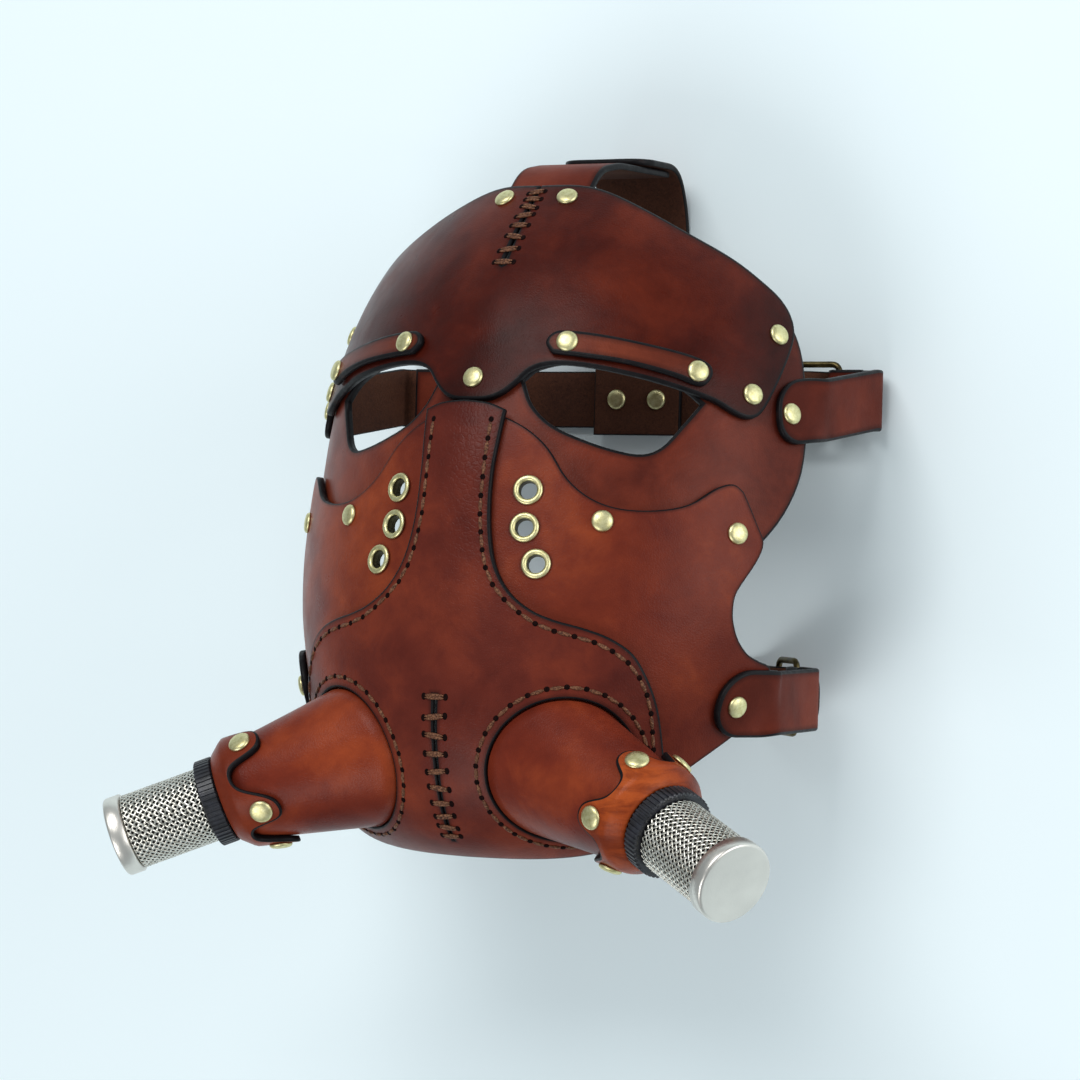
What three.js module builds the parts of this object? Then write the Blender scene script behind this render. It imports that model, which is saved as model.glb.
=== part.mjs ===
// Leather half-helmet mask with two side filters, lying on its back with the face up.
// Millimetres. +X is the wearer's left, +Y the top of the head, +Z the way the face looks.
// The zero of the modelling frame is behind the nose rivet, and the whole mask is set on z = 0 at the end.
import * as THREE from 'three';
import { mergeVertices } from 'three/addons/utils/BufferGeometryUtils.js';

// Driving dimensions
const LEATHER = 2.8;
const STRAP_LEATHER = 2.6;
const LAYER_GAP = 0.6;
const FIRST_LAYER = 0;
const SECOND_LAYER = LEATHER + LAYER_GAP;
const THIRD_LAYER = 2 * SECOND_LAYER;
const REST_DEPTH = 140;            // from the nose rivet back to the table
const PANEL_MESH = 15;             // longest edge round the head in a panel's faceted skin
const UP_EASE = 0.62;              // the head curves less up and down, so edges may be longer that way
const RIVET_RADIUS = 4.1;
const RIVET_HEIGHT = 1.5;
const TOUCH_GAP = 0.35;

// The face form: level sections from the crown down to under the chin.
// reach is how far the middle line stands forward, half the width, and depth how far the sides go back.
const SECTION_STEP = 45;
const TOP_SECTION = 90;
const SECTIONS = [
  { level: 90, reach: -68, half: 62, depth: 100 },
  { level: 45, reach: -27, half: 90, depth: 101 },
  { level: 0, reach: -5, half: 104, depth: 107 },
  { level: -45, reach: 5, half: 109, depth: 111 },
  { level: -90, reach: 13, half: 106, depth: 109 },
  { level: -135, reach: 14.5, half: 93, depth: 107 },
  { level: -167, reach: -1, half: 82, depth: 102 },
  { level: -174, reach: -36, half: 72, depth: 95 },
];
const AROUND_UNIT = 100;           // millimetres of "around" for one radian of the section

// Low relief that every layer follows: nose bridge, eye sockets and the fold down the forehead.
const NOSE_RIDGE = { height: 3, around: 0, width: 16, up: -34, spread: 26 };
const EYE_SOCKET = { height: -3.5, around: 54, width: 26, up: -14, spread: 18 };
const FOREHEAD_FOLD = { height: 1.5, around: 0, width: 12, up: 28, spread: 16 };
// The brow edge of the forehead panel flares away from the eyes.
const BROW_FLARE = { height: 2.4, around: 52, width: 26, up: 2, spread: 7 };

function alongSections(key, up) {
  const last = SECTIONS.length - 1;
  const place = THREE.MathUtils.clamp((TOP_SECTION - up) / SECTION_STEP, -0.4, last);
  const index = THREE.MathUtils.clamp(Math.floor(place), 0, last - 1);
  const w = place - index;
  const value = (i) => SECTIONS[i][key];
  const b = value(index);
  const c = value(index + 1);
  const a = index > 0 ? value(index - 1) : 2 * b - c;
  const d = index + 2 <= last ? value(index + 2) : 2 * c - b;
  const startSlope = (c - a) / 2;
  const endSlope = (d - b) / 2;
  return b + startSlope * w + (3 * c - 3 * b - 2 * startSlope - endSlope) * w ** 2
    + (2 * b - 2 * c + startSlope + endSlope) * w ** 3;
}

function bell(x, width) {
  return Math.exp(-((x / width) ** 2));
}

function swell(shape, around, up) {
  return shape.height * bell(Math.abs(around) - shape.around, shape.width) * bell(up - shape.up, shape.spread);
}

function formPoint(around, up) {
  const angle = around / AROUND_UNIT;
  const relief = swell(NOSE_RIDGE, around, up) + swell(EYE_SOCKET, around, up)
    + swell(FOREHEAD_FOLD, around, up);
  return new THREE.Vector3(
    alongSections('half', up) * Math.sin(angle),
    alongSections('level', up),
    alongSections('reach', up) - alongSections('depth', up) * (1 - Math.cos(angle)) + relief,
  );
}

function formNormal(around, up) {
  const step = 0.5;
  const across = formPoint(around + step, up).sub(formPoint(around - step, up));
  const along = formPoint(around, up + step).sub(formPoint(around, up - step));
  return across.cross(along).normalize();
}

// A point over the form: around it from the middle line, up it, and lifted off it.
function wrap(around, up, lift) {
  return formPoint(around, up).addScaledVector(formNormal(around, up), lift);
}

function wrapForehead(around, up, lift) {
  return wrap(around, up, lift + swell(BROW_FLARE, around, up));
}

// Mesh helpers
function bare(geometry) {
  geometry.deleteAttribute('normal');
  geometry.deleteAttribute('uv');
  return mergeVertices(geometry, 1e-4);
}

function listsOf(geometry) {
  const merged = bare(geometry);
  const places = merged.getAttribute('position');
  const points = [];
  for (let i = 0; i < places.count; i += 1) points.push(new THREE.Vector3().fromBufferAttribute(places, i));
  const triangles = [];
  const order = merged.index.array;
  for (let i = 0; i < order.length; i += 3) {
    const corners = [order[i], order[i + 1], order[i + 2]];
    if (new Set(corners).size === 3) triangles.push(corners);
  }
  return { points, triangles };
}

function volumeOf(points, triangles) {
  let six = 0;
  for (const [a, b, c] of triangles) six += points[a].dot(points[b].clone().cross(points[c]));
  return six;
}

// A closed geometry from its lists, with the faces turned outwards.
function solidFrom(points, triangles) {
  const outward = volumeOf(points, triangles) > 0;
  const order = triangles.flatMap(([a, b, c]) => (outward ? [a, b, c] : [a, c, b]));
  const geometry = new THREE.BufferGeometry().setFromPoints(points);
  geometry.setIndex(order);
  geometry.computeVertexNormals();
  return geometry;
}

function edgeKey(a, b) {
  return a < b ? `${a}_${b}` : `${b}_${a}`;
}

function splitLongest(points, triangles, limit) {
  const middle = new Map();
  for (const corners of triangles) {
    let longest = limit;
    let key = null;
    for (let i = 0; i < 3; i += 1) {
      const edge = points[corners[i]].clone().sub(points[corners[(i + 1) % 3]]);
      const length = Math.hypot(edge.x, edge.y * UP_EASE, edge.z);
      if (length > longest) {
        longest = length;
        key = edgeKey(corners[i], corners[(i + 1) % 3]);
      }
    }
    if (key && !middle.has(key)) {
      const [a, b] = key.split('_').map(Number);
      middle.set(key, points.push(points[a].clone().lerp(points[b], 0.5)) - 1);
    }
  }
  if (middle.size === 0) return null;
  const next = [];
  for (const [a, b, c] of triangles) {
    const ab = middle.get(edgeKey(a, b));
    const bc = middle.get(edgeKey(b, c));
    const ca = middle.get(edgeKey(c, a));
    const ring = [a, ab, b, bc, c, ca].filter((corner) => corner !== undefined);
    const start = ab !== undefined ? ab : (bc !== undefined ? bc : ca);
    const turned = start === undefined ? ring : ring.slice(ring.indexOf(start)).concat(ring.slice(0, ring.indexOf(start)));
    if (turned.length === 6) {
      next.push([a, ab, ca], [ab, b, bc], [ca, bc, c], [ab, bc, ca]);
    } else {
      for (let i = 1; i + 1 < turned.length; i += 1) next.push([turned[0], turned[i], turned[i + 1]]);
    }
  }
  return next;
}

function flipToRound(points, triangles) {
  const normal = ([a, b, c]) => new THREE.Triangle(points[a], points[b], points[c]).getNormal(new THREE.Vector3());
  const angleAt = (tip, a, b) => points[a].clone().sub(points[tip]).angleTo(points[b].clone().sub(points[tip]));
  let changed = false;
  const owners = new Map();
  triangles.forEach((corners, index) => {
    for (let i = 0; i < 3; i += 1) {
      const key = edgeKey(corners[i], corners[(i + 1) % 3]);
      if (!owners.has(key)) owners.set(key, []);
      owners.get(key).push(index);
    }
  });
  const touched = new Set();
  for (const [key, pair] of owners) {
    if (pair.length !== 2 || pair.some((index) => touched.has(index))) continue;
    const [one, two] = pair.map((index) => triangles[index]);
    if (normal(one).dot(normal(two)) < 0.99999) continue;
    const ends = key.split('_').map(Number);
    const tip = one.find((corner) => !ends.includes(corner));
    const foot = two.find((corner) => !ends.includes(corner));
    if (angleAt(tip, ends[0], ends[1]) + angleAt(foot, ends[0], ends[1]) <= Math.PI + 0.01) continue;
    const from = one[(one.indexOf(tip) + 1) % 3];
    const to = one[(one.indexOf(tip) + 2) % 3];
    const first = [tip, from, foot];
    const second = [tip, foot, to];
    if (normal(first).dot(normal(one)) < 0.9 || normal(second).dot(normal(one)) < 0.9) continue;
    triangles[pair[0]] = first;
    triangles[pair[1]] = second;
    pair.forEach((index) => touched.add(index));
    changed = true;
  }
  return changed;
}

function refined(geometry, limit) {
  const { points, triangles } = listsOf(geometry);
  let current = triangles;
  for (;;) {
    for (let pass = 0; pass < 60 && flipToRound(points, current); pass += 1);
    const next = splitLongest(points, current, limit);
    if (!next) return { points, triangles: current };
    current = next;
  }
}

// Outlines are runs of points; a run is one smooth curve, and runs meet at corners.
function smoothRun(points, perSpan) {
  const curve = new THREE.SplineCurve(points.map(([x, y]) => new THREE.Vector2(x, y)));
  return curve.getPoints((points.length - 1) * perSpan);
}

function outlineOf(runs, perSpan) {
  const points = [];
  for (const run of runs) {
    const smooth = run.length > 2 ? smoothRun(run, perSpan) : run.map(([x, y]) => new THREE.Vector2(x, y));
    for (const point of smooth) {
      if (points.length === 0 || point.distanceTo(points[points.length - 1]) > 0.3) points.push(point);
    }
  }
  if (points[0].distanceTo(points[points.length - 1]) < 0.3) points.pop();
  return points;
}

// The whole outline of a panel that is the same on both sides, from the runs of its left half.
function bothHalves(runs, perSpan) {
  const half = outlineOf(runs, perSpan);
  const other = half.filter((point) => Math.abs(point.x) > 0.2).map((point) => new THREE.Vector2(-point.x, point.y));
  return half.concat(other.reverse());
}

function toSide(points, side) {
  return points.map((point) => new THREE.Vector2(side * point.x, point.y));
}

function ovalHole(around, up, halfAcross, halfUp, count) {
  const curve = new THREE.EllipseCurve(around, up, halfAcross, halfUp, 0, 2 * Math.PI);
  return curve.getPoints(count).slice(0, -1);
}

// A flat shape whose outline runs anticlockwise, so that its holes are turned the other way.
function shapeOf(outline, holes) {
  const shape = new THREE.Shape(THREE.ShapeUtils.isClockWise(outline) ? outline.slice().reverse() : outline);
  shape.holes = holes.map((hole) => new THREE.Path(hole));
  return shape;
}

function panelGeometry(outline, holes, layer, limit = PANEL_MESH, place = wrap, thickness = LEATHER) {
  const shape = shapeOf(outline, holes);
  const flat = new THREE.ExtrudeGeometry(shape, { depth: thickness, bevelEnabled: false });
  const { points, triangles } = refined(flat, limit);
  const placed = points.map((point) => place(point.x, point.y, layer + point.z));
  return solidFrom(placed, triangles);
}

function mirrored(geometry) {
  const { points, triangles } = listsOf(geometry.clone());
  return solidFrom(points.map((point) => new THREE.Vector3(-point.x, point.y, point.z)), triangles);
}

// A ring-shaped solid from closed sections: each of the rings is a function of the angle.
function ringSolid(rings, count) {
  const marks = rings.map((ring, index) => {
    const turn = (2 * Math.PI * index) / rings.length;
    return new THREE.Vector2(10 + Math.cos(turn), Math.sin(turn));
  });
  const lathe = new THREE.LatheGeometry([...marks, marks[0]], count);
  const { points, triangles } = listsOf(lathe);
  const placed = points.map((point) => {
    const angle = Math.atan2(point.x, point.z);
    const mark = new THREE.Vector2(Math.hypot(point.x, point.z), point.y);
    const index = marks.findIndex((other) => other.distanceTo(mark) < 0.05);
    return rings[index](angle);
  });
  return solidFrom(placed, triangles);
}

// Finishes of the real pieces
const FINISHES = {
  leather: { color: 0x6b2a1c, roughness: 0.45, metalness: 0 },
  tan_leather: { color: 0x9c4a22, roughness: 0.45, metalness: 0 },
  strap_leather: { color: 0x5e261c, roughness: 0.5, metalness: 0 },
  brass: { color: 0xc8bd78, roughness: 0.3, metalness: 1 },
  antique_brass: { color: 0x55502f, roughness: 0.4, metalness: 1 },
  black_plastic: { color: 0x1b1d24, roughness: 0.45, metalness: 0 },
  steel_mesh: { color: 0xb9b7ad, roughness: 0.3, metalness: 1 },
  aluminium: { color: 0xbfbfbb, roughness: 0.4, metalness: 1 },
};

const mask = new THREE.Group();

function add(name, finish, geometry) {
  const mesh = new THREE.Mesh(geometry, new THREE.MeshStandardMaterial(FINISHES[finish]));
  mesh.name = name;
  mask.add(mesh);
  return mesh;
}

function stand(mesh, point, direction) {
  mesh.position.copy(point);
  mesh.quaternion.setFromUnitVectors(new THREE.Vector3(0, 0, 1), direction);
}

const SIDES = [['left', 1], ['right', -1]];

// Face panel: round the eyes, from under the forehead panel to under the cheek panels.
const FACE_EDGE = [
  [[0, 25], [60, 27], [104, 28]],
  [[104, 28], [113, 27], [119, 22.5], [122.3, 15], [123.7, 5], [124, -12], [121, -32], [114, -48], [105, -60],
    [99, -66]],
  [[99, -66], [80, -65], [60, -63], [46, -59], [36, -49], [28, -34], [18, -27], [0, -25]],
];
const EYE_EDGE = [
  [[17, -1], [21, -10], [28.5, -17.5], [40, -23], [51, -26.5], [59.5, -27.5], [66, -24.5], [72.5, -16.5], [79.5, -8]],
  [[79.5, -8], [70, -1], [52, 5], [34, 6], [22, 3.5], [17, -1]],
];
const eyeHole = outlineOf(EYE_EDGE, 1);
add('face_panel', 'leather', panelGeometry(
  bothHalves(FACE_EDGE, 1), [eyeHole, toSide(eyeHole, -1)], FIRST_LAYER,
));

// Forehead panel, with the dart that is laced together at its top.
const DART_FOOT = 40;
const DART_HALF_FOOT = 1.7;
const DART_HALF_TOP = 0.7;
const FOREHEAD_TOP = 73;
const FOREHEAD_EDGE = [
  [[0, DART_FOOT], [DART_HALF_FOOT, DART_FOOT + 2], [DART_HALF_TOP, FOREHEAD_TOP]],
  [[DART_HALF_TOP, FOREHEAD_TOP], [20, 73], [35, 70.3], [53, 63.5], [73, 54.3], [91, 45.8], [103, 38.3], [111.5, 31.8],
    [116, 25], [116.5, 17.5], [112, 7], [105.5, -5], [101, -11.5], [96.5, -13.5], [91, -12], [82.5, -7.5],
    [68.5, -3], [55, 0.3], [38, 3.4], [27, 3.8], [20, 1.6], [15.5, -3.2], [11, -7.3], [6, -9.6], [0, -10]],
];
add('forehead_panel', 'leather', panelGeometry(
  bothHalves(FOREHEAD_EDGE, 1), [], SECOND_LAYER, PANEL_MESH, wrapForehead,
));

// Brow strips: two narrow strips with round ends, riveted over the eyes.
const BROW_STRIP_EDGE = [
  [[27, 7], [24.5, 10.5], [26, 14], [31, 15.3], [47, 13.7], [67, 9.6], [78.5, 5.8], [81.5, 2], [80, -2], [76.5, -3],
    [67, 0.2], [52, 4], [38, 5.9], [27, 7]],
];
for (const [name, side] of SIDES) {
  add(`brow_strip_${name}`, 'leather', panelGeometry(
    toSide(outlineOf(BROW_STRIP_EDGE, 1), side), [], THIRD_LAYER, PANEL_MESH, wrapForehead, STRAP_LEATHER,
  ));
}

// Cheek panels, one on each side, with a wavy top edge and a row of breathing holes.
const CHEEK_EDGE = [
  [[9, -15.5], [13, -15.8], [21, -20], [28.5, -27], [36, -38], [44.5, -45], [54, -48.3], [65.5, -48.5], [76, -46],
    [85, -39.6], [91, -37.8], [95, -40.5]],
  [[95, -40.5], [101, -52], [104.5, -59], [103, -66], [97.5, -77], [97.3, -84], [99, -89.5], [102, -94.5], [107, -99],
    [113, -101.5]],
  [[113, -101.5], [119, -105], [119.5, -121], [111, -128.3]],
  [[111, -128.3], [96, -141], [86, -150]],
  [[86, -150], [80, -146], [79, -136], [77.5, -127], [71, -116], [60, -108], [46, -104], [32, -101], [20, -94],
    [11, -84], [8, -72], [6.5, -58], [6.5, -32], [9, -15.5]],
];
const EYELETS = [[23.7, -42.5], [24.1, -56.3], [29.5, -69.5]];
const EYELET_HOLE_RADIUS = 4.3;
const EYELET_SECTION = [[3.2, -3.3], [3.8, -3.3], [3.8, 0.4], [5.9, 0.4], [5, 1.4], [3.2, 1.2]];
for (const [name, side] of SIDES) {
  const holes = EYELETS.map(([around, up]) => ovalHole(side * around, up, EYELET_HOLE_RADIUS, EYELET_HOLE_RADIUS, 10));
  add(`cheek_panel_${name}`, 'leather', panelGeometry(toSide(outlineOf(CHEEK_EDGE, 1), side), holes, SECOND_LAYER));
  EYELETS.forEach(([around, up], index) => {
    const section = [...EYELET_SECTION, EYELET_SECTION[0]].map(([r, z]) => new THREE.Vector2(r, z));
    const ring = new THREE.LatheGeometry(section, 8).rotateX(Math.PI / 2);
    const { points, triangles } = listsOf(ring);
    const mesh = add(`eyelet_${name}_${index + 1}`, 'brass', solidFrom(points, triangles));
    stand(mesh, wrap(side * around, up, SECOND_LAYER + LEATHER), formNormal(side * around, up));
  });
}

// Muzzle panel: nose bridge to chin, over the cheek panels, with a laced dart and two snout holes.
const LACED_TOP = -115;
const MUZZLE_EDGE = [
  [[0, -11], [8, -11.8], [13.8, -14]],
  [[13.8, -14], [12.8, -24], [12, -35], [12.4, -48], [14, -60], [17, -71], [22.5, -80], [30, -86], [38, -89.3],
    [47.3, -91.7], [56.3, -94.8], [64.5, -99.8], [70.5, -107], [75.5, -115], [79, -123], [82, -133], [84, -144],
    [83, -155], [77, -168], [66, -178], [52, -184], [30, -188], [0, -189]],
];
const SNOUT_HOLE = { around: 47, up: -145, halfAcross: 27.5, halfUp: 29 };
const SEAM_HALF = 0.9;
const SEAM_FOOT = -176;
const seam = outlineOf([[[0, LACED_TOP], [SEAM_HALF, LACED_TOP - 3], [SEAM_HALF, SEAM_FOOT], [-SEAM_HALF, SEAM_FOOT],
  [-SEAM_HALF, LACED_TOP - 3], [0, LACED_TOP]]], 1);
const snoutHoles = SIDES.map(([, side]) => ovalHole(
  side * SNOUT_HOLE.around, SNOUT_HOLE.up, SNOUT_HOLE.halfAcross, SNOUT_HOLE.halfUp, 26,
));
add('muzzle_panel', 'leather', panelGeometry(bothHalves(MUZZLE_EDGE, 1), [...snoutHoles, seam], THIRD_LAYER));

// Snouts: hollow leather cones from the muzzle panel's holes out to the filters.
const RING_CENTRE = new THREE.Vector3(95.5, -162.2, 22.4);
const AXIS = new THREE.Vector3(0.842, -0.369, 0.394).normalize();
const AXIS_UP = new THREE.Vector3(0, 1, 0).addScaledVector(AXIS, -AXIS.y).normalize();
const AXIS_FRONT = AXIS.clone().cross(AXIS_UP);
const SNOUT_END = -9.6;            // along the axis from the middle of the black ring
const SNOUT_END_RADIUS = 18.7;
const SNOUT_WALL = 2.6;
const FLANGE_WIDTH = 3;
const HOLE_CLEARANCE = 0.6;

function onAxis(along, radius, angle) {
  return RING_CENTRE.clone().addScaledVector(AXIS, along)
    .addScaledVector(AXIS_UP, radius * Math.cos(angle))
    .addScaledVector(AXIS_FRONT, radius * Math.sin(angle));
}

// The hole's rim at an angle: up is 0 and the middle line is at a quarter turn.
function onRim(angle, grow, lift) {
  const around = SNOUT_HOLE.around - (SNOUT_HOLE.halfAcross + grow) * Math.sin(angle);
  const up = SNOUT_HOLE.up + (SNOUT_HOLE.halfUp + grow) * Math.cos(angle);
  return wrap(around, up, lift);
}

// A point on the cone: set back from its end along the line to the rim, and lifted off its skin.
function onCone(angle, back, lift) {
  const end = onAxis(SNOUT_END, SNOUT_END_RADIUS + lift, angle);
  const root = onRim(angle, lift - HOLE_CLEARANCE, THIRD_LAYER + LEATHER);
  return end.addScaledVector(root.sub(end).normalize(), back);
}

function coneBetween(angle, share, lift) {
  const end = onAxis(SNOUT_END, SNOUT_END_RADIUS + lift, angle);
  return onRim(angle, lift - HOLE_CLEARANCE, THIRD_LAYER + LEATHER).lerp(end, share);
}

const snoutRings = [
  (angle) => onRim(angle, FLANGE_WIDTH, SECOND_LAYER),
  (angle) => onRim(angle, FLANGE_WIDTH, SECOND_LAYER + LEATHER),
  (angle) => onRim(angle, -HOLE_CLEARANCE, SECOND_LAYER + LEATHER),
  (angle) => coneBetween(angle, 0, 0),
  (angle) => coneBetween(angle, 1, 0),
  (angle) => coneBetween(angle, 1, -SNOUT_WALL),
  (angle) => coneBetween(angle, 0, -SNOUT_WALL),
  (angle) => onRim(angle, -HOLE_CLEARANCE - SNOUT_WALL, SECOND_LAYER),
];

// Collars: sleeves over the cones' ends, drawn in to the black ring, with round lobes cut freehand.
const LOBE_ROUNDNESS = 1.3;
const COLLAR_WALL = 2.6;
const COLLAR_GAP = 0.45;
// Degrees of the lobes from the top, and how far back from the cone's end their tips and valleys lie.
const COLLAR_CUTS = {
  left: { lobes: [21, 91, 160, 242, 324], tip: 14, valley: 3.5 },
  right: { lobes: [34, 109, 173, 242, 311], tip: 16.2, valley: 1.3 },
};

function lobeReach(cut, angle) {
  const { lobes, tip, valley } = cut;
  const turn = THREE.MathUtils.euclideanModulo(THREE.MathUtils.radToDeg(angle) - lobes[0], 360);
  const starts = [...lobes, lobes[0] + 360].map((lobe) => lobe - lobes[0]);
  const next = Math.max(1, starts.findIndex((start) => start > turn));
  const share = (turn - starts[next - 1]) / (starts[next] - starts[next - 1]);
  const wave = Math.tanh(LOBE_ROUNDNESS * Math.cos(2 * Math.PI * share)) / Math.tanh(LOBE_ROUNDNESS);
  return valley + (tip - valley) * (0.5 + 0.5 * wave);
}

function collarRings(cut) {
  return [
    (angle) => onAxis(-3.8, 15.6, angle),
    (angle) => onAxis(-4.1, 17.2, angle),
    (angle) => onAxis(-6.4, 19.1, angle),
    (angle) => onAxis(SNOUT_END, SNOUT_END_RADIUS + COLLAR_GAP + COLLAR_WALL, angle),
    (angle) => onCone(angle, lobeReach(cut, angle), COLLAR_GAP + COLLAR_WALL),
    (angle) => onCone(angle, lobeReach(cut, angle), COLLAR_GAP),
    (angle) => onAxis(SNOUT_END, SNOUT_END_RADIUS + COLLAR_GAP, angle),
    (angle) => onAxis(-8, 17.9, angle),
    (angle) => onAxis(-6.6, 15.6, angle),
  ];
}

// Filters: a ribbed black ring, a steel mesh tube and a turned aluminium cap on one axis.
const RING_RADIUS = 16.9;
const RING_HALF = 3.3;
const TUBE_RADIUS = 14.9;
const TUBE_WALL = 1.2;
const TUBE_END = 34;
const CAP_RADIUS = 15.4;
const CAP_START = TUBE_END + TOUCH_GAP;
const CAP_END = 40.8;
const CAP_CHAMFER = 0.6;

function turned(section, count) {
  const profile = section.map(([r, z]) => new THREE.Vector2(r, z));
  const { points, triangles } = listsOf(new THREE.LatheGeometry(profile, count).rotateX(Math.PI / 2));
  return solidFrom(points, triangles);
}

const RING_SECTION = [[TUBE_RADIUS - TUBE_WALL, -RING_HALF], [RING_RADIUS, -RING_HALF], [RING_RADIUS, RING_HALF],
  [TUBE_RADIUS - TUBE_WALL, RING_HALF], [TUBE_RADIUS - TUBE_WALL, -RING_HALF]];
const TUBE_START = RING_HALF + TOUCH_GAP;
const TUBE_SECTION = [[TUBE_RADIUS - TUBE_WALL, TUBE_START], [TUBE_RADIUS, TUBE_START], [TUBE_RADIUS, TUBE_END],
  [TUBE_RADIUS - TUBE_WALL, TUBE_END], [TUBE_RADIUS - TUBE_WALL, TUBE_START]];
const CAP_SECTION = [[0, CAP_START], [CAP_RADIUS, CAP_START], [CAP_RADIUS, CAP_END - CAP_CHAMFER],
  [CAP_RADIUS - CAP_CHAMFER, CAP_END], [0, CAP_END]];

const snoutLeft = ringSolid(snoutRings, 24);
for (const [name, side] of SIDES) {
  const centre = new THREE.Vector3(side * RING_CENTRE.x, RING_CENTRE.y, RING_CENTRE.z);
  const direction = new THREE.Vector3(side * AXIS.x, AXIS.y, AXIS.z);
  add(`snout_${name}`, 'leather', side > 0 ? snoutLeft : mirrored(snoutLeft));
  const collar = ringSolid(collarRings(COLLAR_CUTS[name]), 40);
  add(`snout_collar_${name}`, 'tan_leather', side > 0 ? collar : mirrored(collar));
  stand(add(`filter_ring_${name}`, 'black_plastic', turned(RING_SECTION, 24)), centre, direction);
  stand(add(`filter_mesh_${name}`, 'steel_mesh', turned(TUBE_SECTION, 22)), centre, direction);
  stand(add(`filter_cap_${name}`, 'aluminium', turned(CAP_SECTION, 22)), centre, direction);
}

// Straps: strips of leather laid along a route in one plane, with rounded free ends.
const STRAP_HALF = 12;
const CROWN_HALF = 18;
const BEND_STEPS = 3;

// The route's corners are [x, z, rounding], and each corner is rounded by a short curve.
function routeOf(corners) {
  const path = new THREE.Path();
  const at = (i) => new THREE.Vector2(corners[i][0], corners[i][1]);
  path.moveTo(corners[0][0], corners[0][1]);
  const stations = [0];
  for (let i = 1; i + 1 < corners.length; i += 1) {
    const radius = corners[i][2];
    const before = at(i).add(at(i - 1).sub(at(i)).setLength(radius));
    const after = at(i).add(at(i + 1).sub(at(i)).setLength(radius));
    path.lineTo(before.x, before.y);
    const start = path.getLength();
    path.quadraticCurveTo(corners[i][0], corners[i][1], after.x, after.y);
    path.updateArcLengths();
    const end = path.getLength();
    for (let k = 0; k <= BEND_STEPS; k += 1) stations.push(start + ((end - start) * k) / BEND_STEPS);
  }
  const last = at(corners.length - 1);
  path.lineTo(last.x, last.y);
  path.arcLengthDivisions = 800;
  path.updateArcLengths();
  stations.push(path.getLength());
  return { path, stations, length: path.getLength() };
}

function filledStations(stations, longest, roundStart, roundEnd) {
  const length = stations[stations.length - 1];
  const all = [...stations];
  for (const share of [0.15, 0.5, 1]) {
    if (roundStart > 0) all.push(roundStart * share);
    if (roundEnd > 0) all.push(length - roundEnd * share);
  }
  all.sort((a, b) => a - b);
  const kept = [0];
  for (const s of all) {
    const previous = kept[kept.length - 1];
    if (s - previous < 0.8) continue;
    const pieces = Math.ceil((s - previous) / longest);
    for (let k = 1; k <= pieces; k += 1) kept.push(previous + ((s - previous) * k) / pieces);
  }
  kept[kept.length - 1] = length;
  return kept;
}

function halfWidthAt(s, length, half, roundStart, roundEnd) {
  let narrow = 0;
  for (const [distance, radius] of [[s, roundStart], [length - s, roundEnd]]) {
    if (radius > 0 && distance < radius) narrow = radius - Math.sqrt(radius ** 2 - (radius - distance) ** 2);
  }
  return half - Math.min(narrow, half - 3);
}

// place(s, across, lift) gives the point for a distance along, a distance across and a height in the leather.
function stripGeometry({ stations, half, roundStart = 0, roundEnd = 0, across = 1, spacing = 60, place }) {
  const length = stations[stations.length - 1];
  const kept = filledStations(stations, spacing, roundStart, roundEnd);
  const box = new THREE.BoxGeometry(kept.length - 1, 2, STRAP_LEATHER, kept.length - 1, across, 1);
  const { points, triangles } = listsOf(box);
  const placed = points.map((point) => {
    const s = kept[Math.round(point.x + (kept.length - 1) / 2)];
    const width = point.y * halfWidthAt(s, length, half, roundStart, roundEnd);
    return place(s, width, point.z + STRAP_LEATHER / 2);
  });
  return solidFrom(placed, triangles);
}

function alongRoute(route, s) {
  const share = THREE.MathUtils.clamp(s / route.length, 0, 1);
  const point = route.path.getPointAt(share);
  const tangent = route.path.getTangentAt(share);
  return { point, tangent };
}

// Across a side strap is +Y, and its leather lies outside the route.
function sidePlace(route, middleAt) {
  return (s, across, lift) => {
    const { point, tangent } = alongRoute(route, s);
    return new THREE.Vector3(point.x - tangent.y * lift, middleAt(s) + across, point.y + tangent.x * lift);
  };
}

// The front of a strap is wrapped on the panel that it is riveted to, and then it runs free.
function wrappedThenFree(anchor, middleAt, free, wrapLength, blendLength) {
  return (s, across, lift) => {
    const onPanel = wrap(anchor.around + s * anchor.stretch, middleAt(s) + across, anchor.layer + lift);
    const blend = THREE.MathUtils.smoothstep(s, wrapLength, wrapLength + blendLength);
    return onPanel.lerp(free(s, across, lift), blend);
  };
}

// Buckle measures: the heel bar holds the side strap, and the rear strap passes inside the front bar.
const WIRE = 2.6;
const BUCKLE_LENGTH = 18.8;
const BUCKLE_HALF_WIDTH = 15.5;
const FOLD_BACK = 13;
const FOLD_DEPTH = WIRE + 2 * 0.3;
const STACK = STRAP_LEATHER + LAYER_GAP;
const BUCKLE_STRAIGHT = 18.5;      // from the side strap's rear bend to its fold
const TAIL_STRAIGHT = 17;

// Points along and outside a straight stretch of a route that starts at the rear bend.
function stretchFrom(corner, direction) {
  const outside = new THREE.Vector2(-direction.y, direction.x);
  return (along, out) => corner.clone().addScaledVector(direction, along).addScaledVector(outside, out);
}

const LEAVE_ROUND = 12;            // how softly a side strap lifts off its panel

function sideStrapRoute(front, leave, corner, stretch, straight) {
  const fold = stretch(straight, 0);
  const turn = stretch(straight, -FOLD_DEPTH);
  const end = stretch(straight - FOLD_BACK, -FOLD_DEPTH);
  const round = FOLD_DEPTH / 2;
  return routeOf([[front.x, front.z], [leave.x, leave.z, LEAVE_ROUND], [corner.x, corner.y, 4],
    [fold.x, fold.y, round], [turn.x, turn.y, round], [end.x, end.y]]);
}

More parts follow.
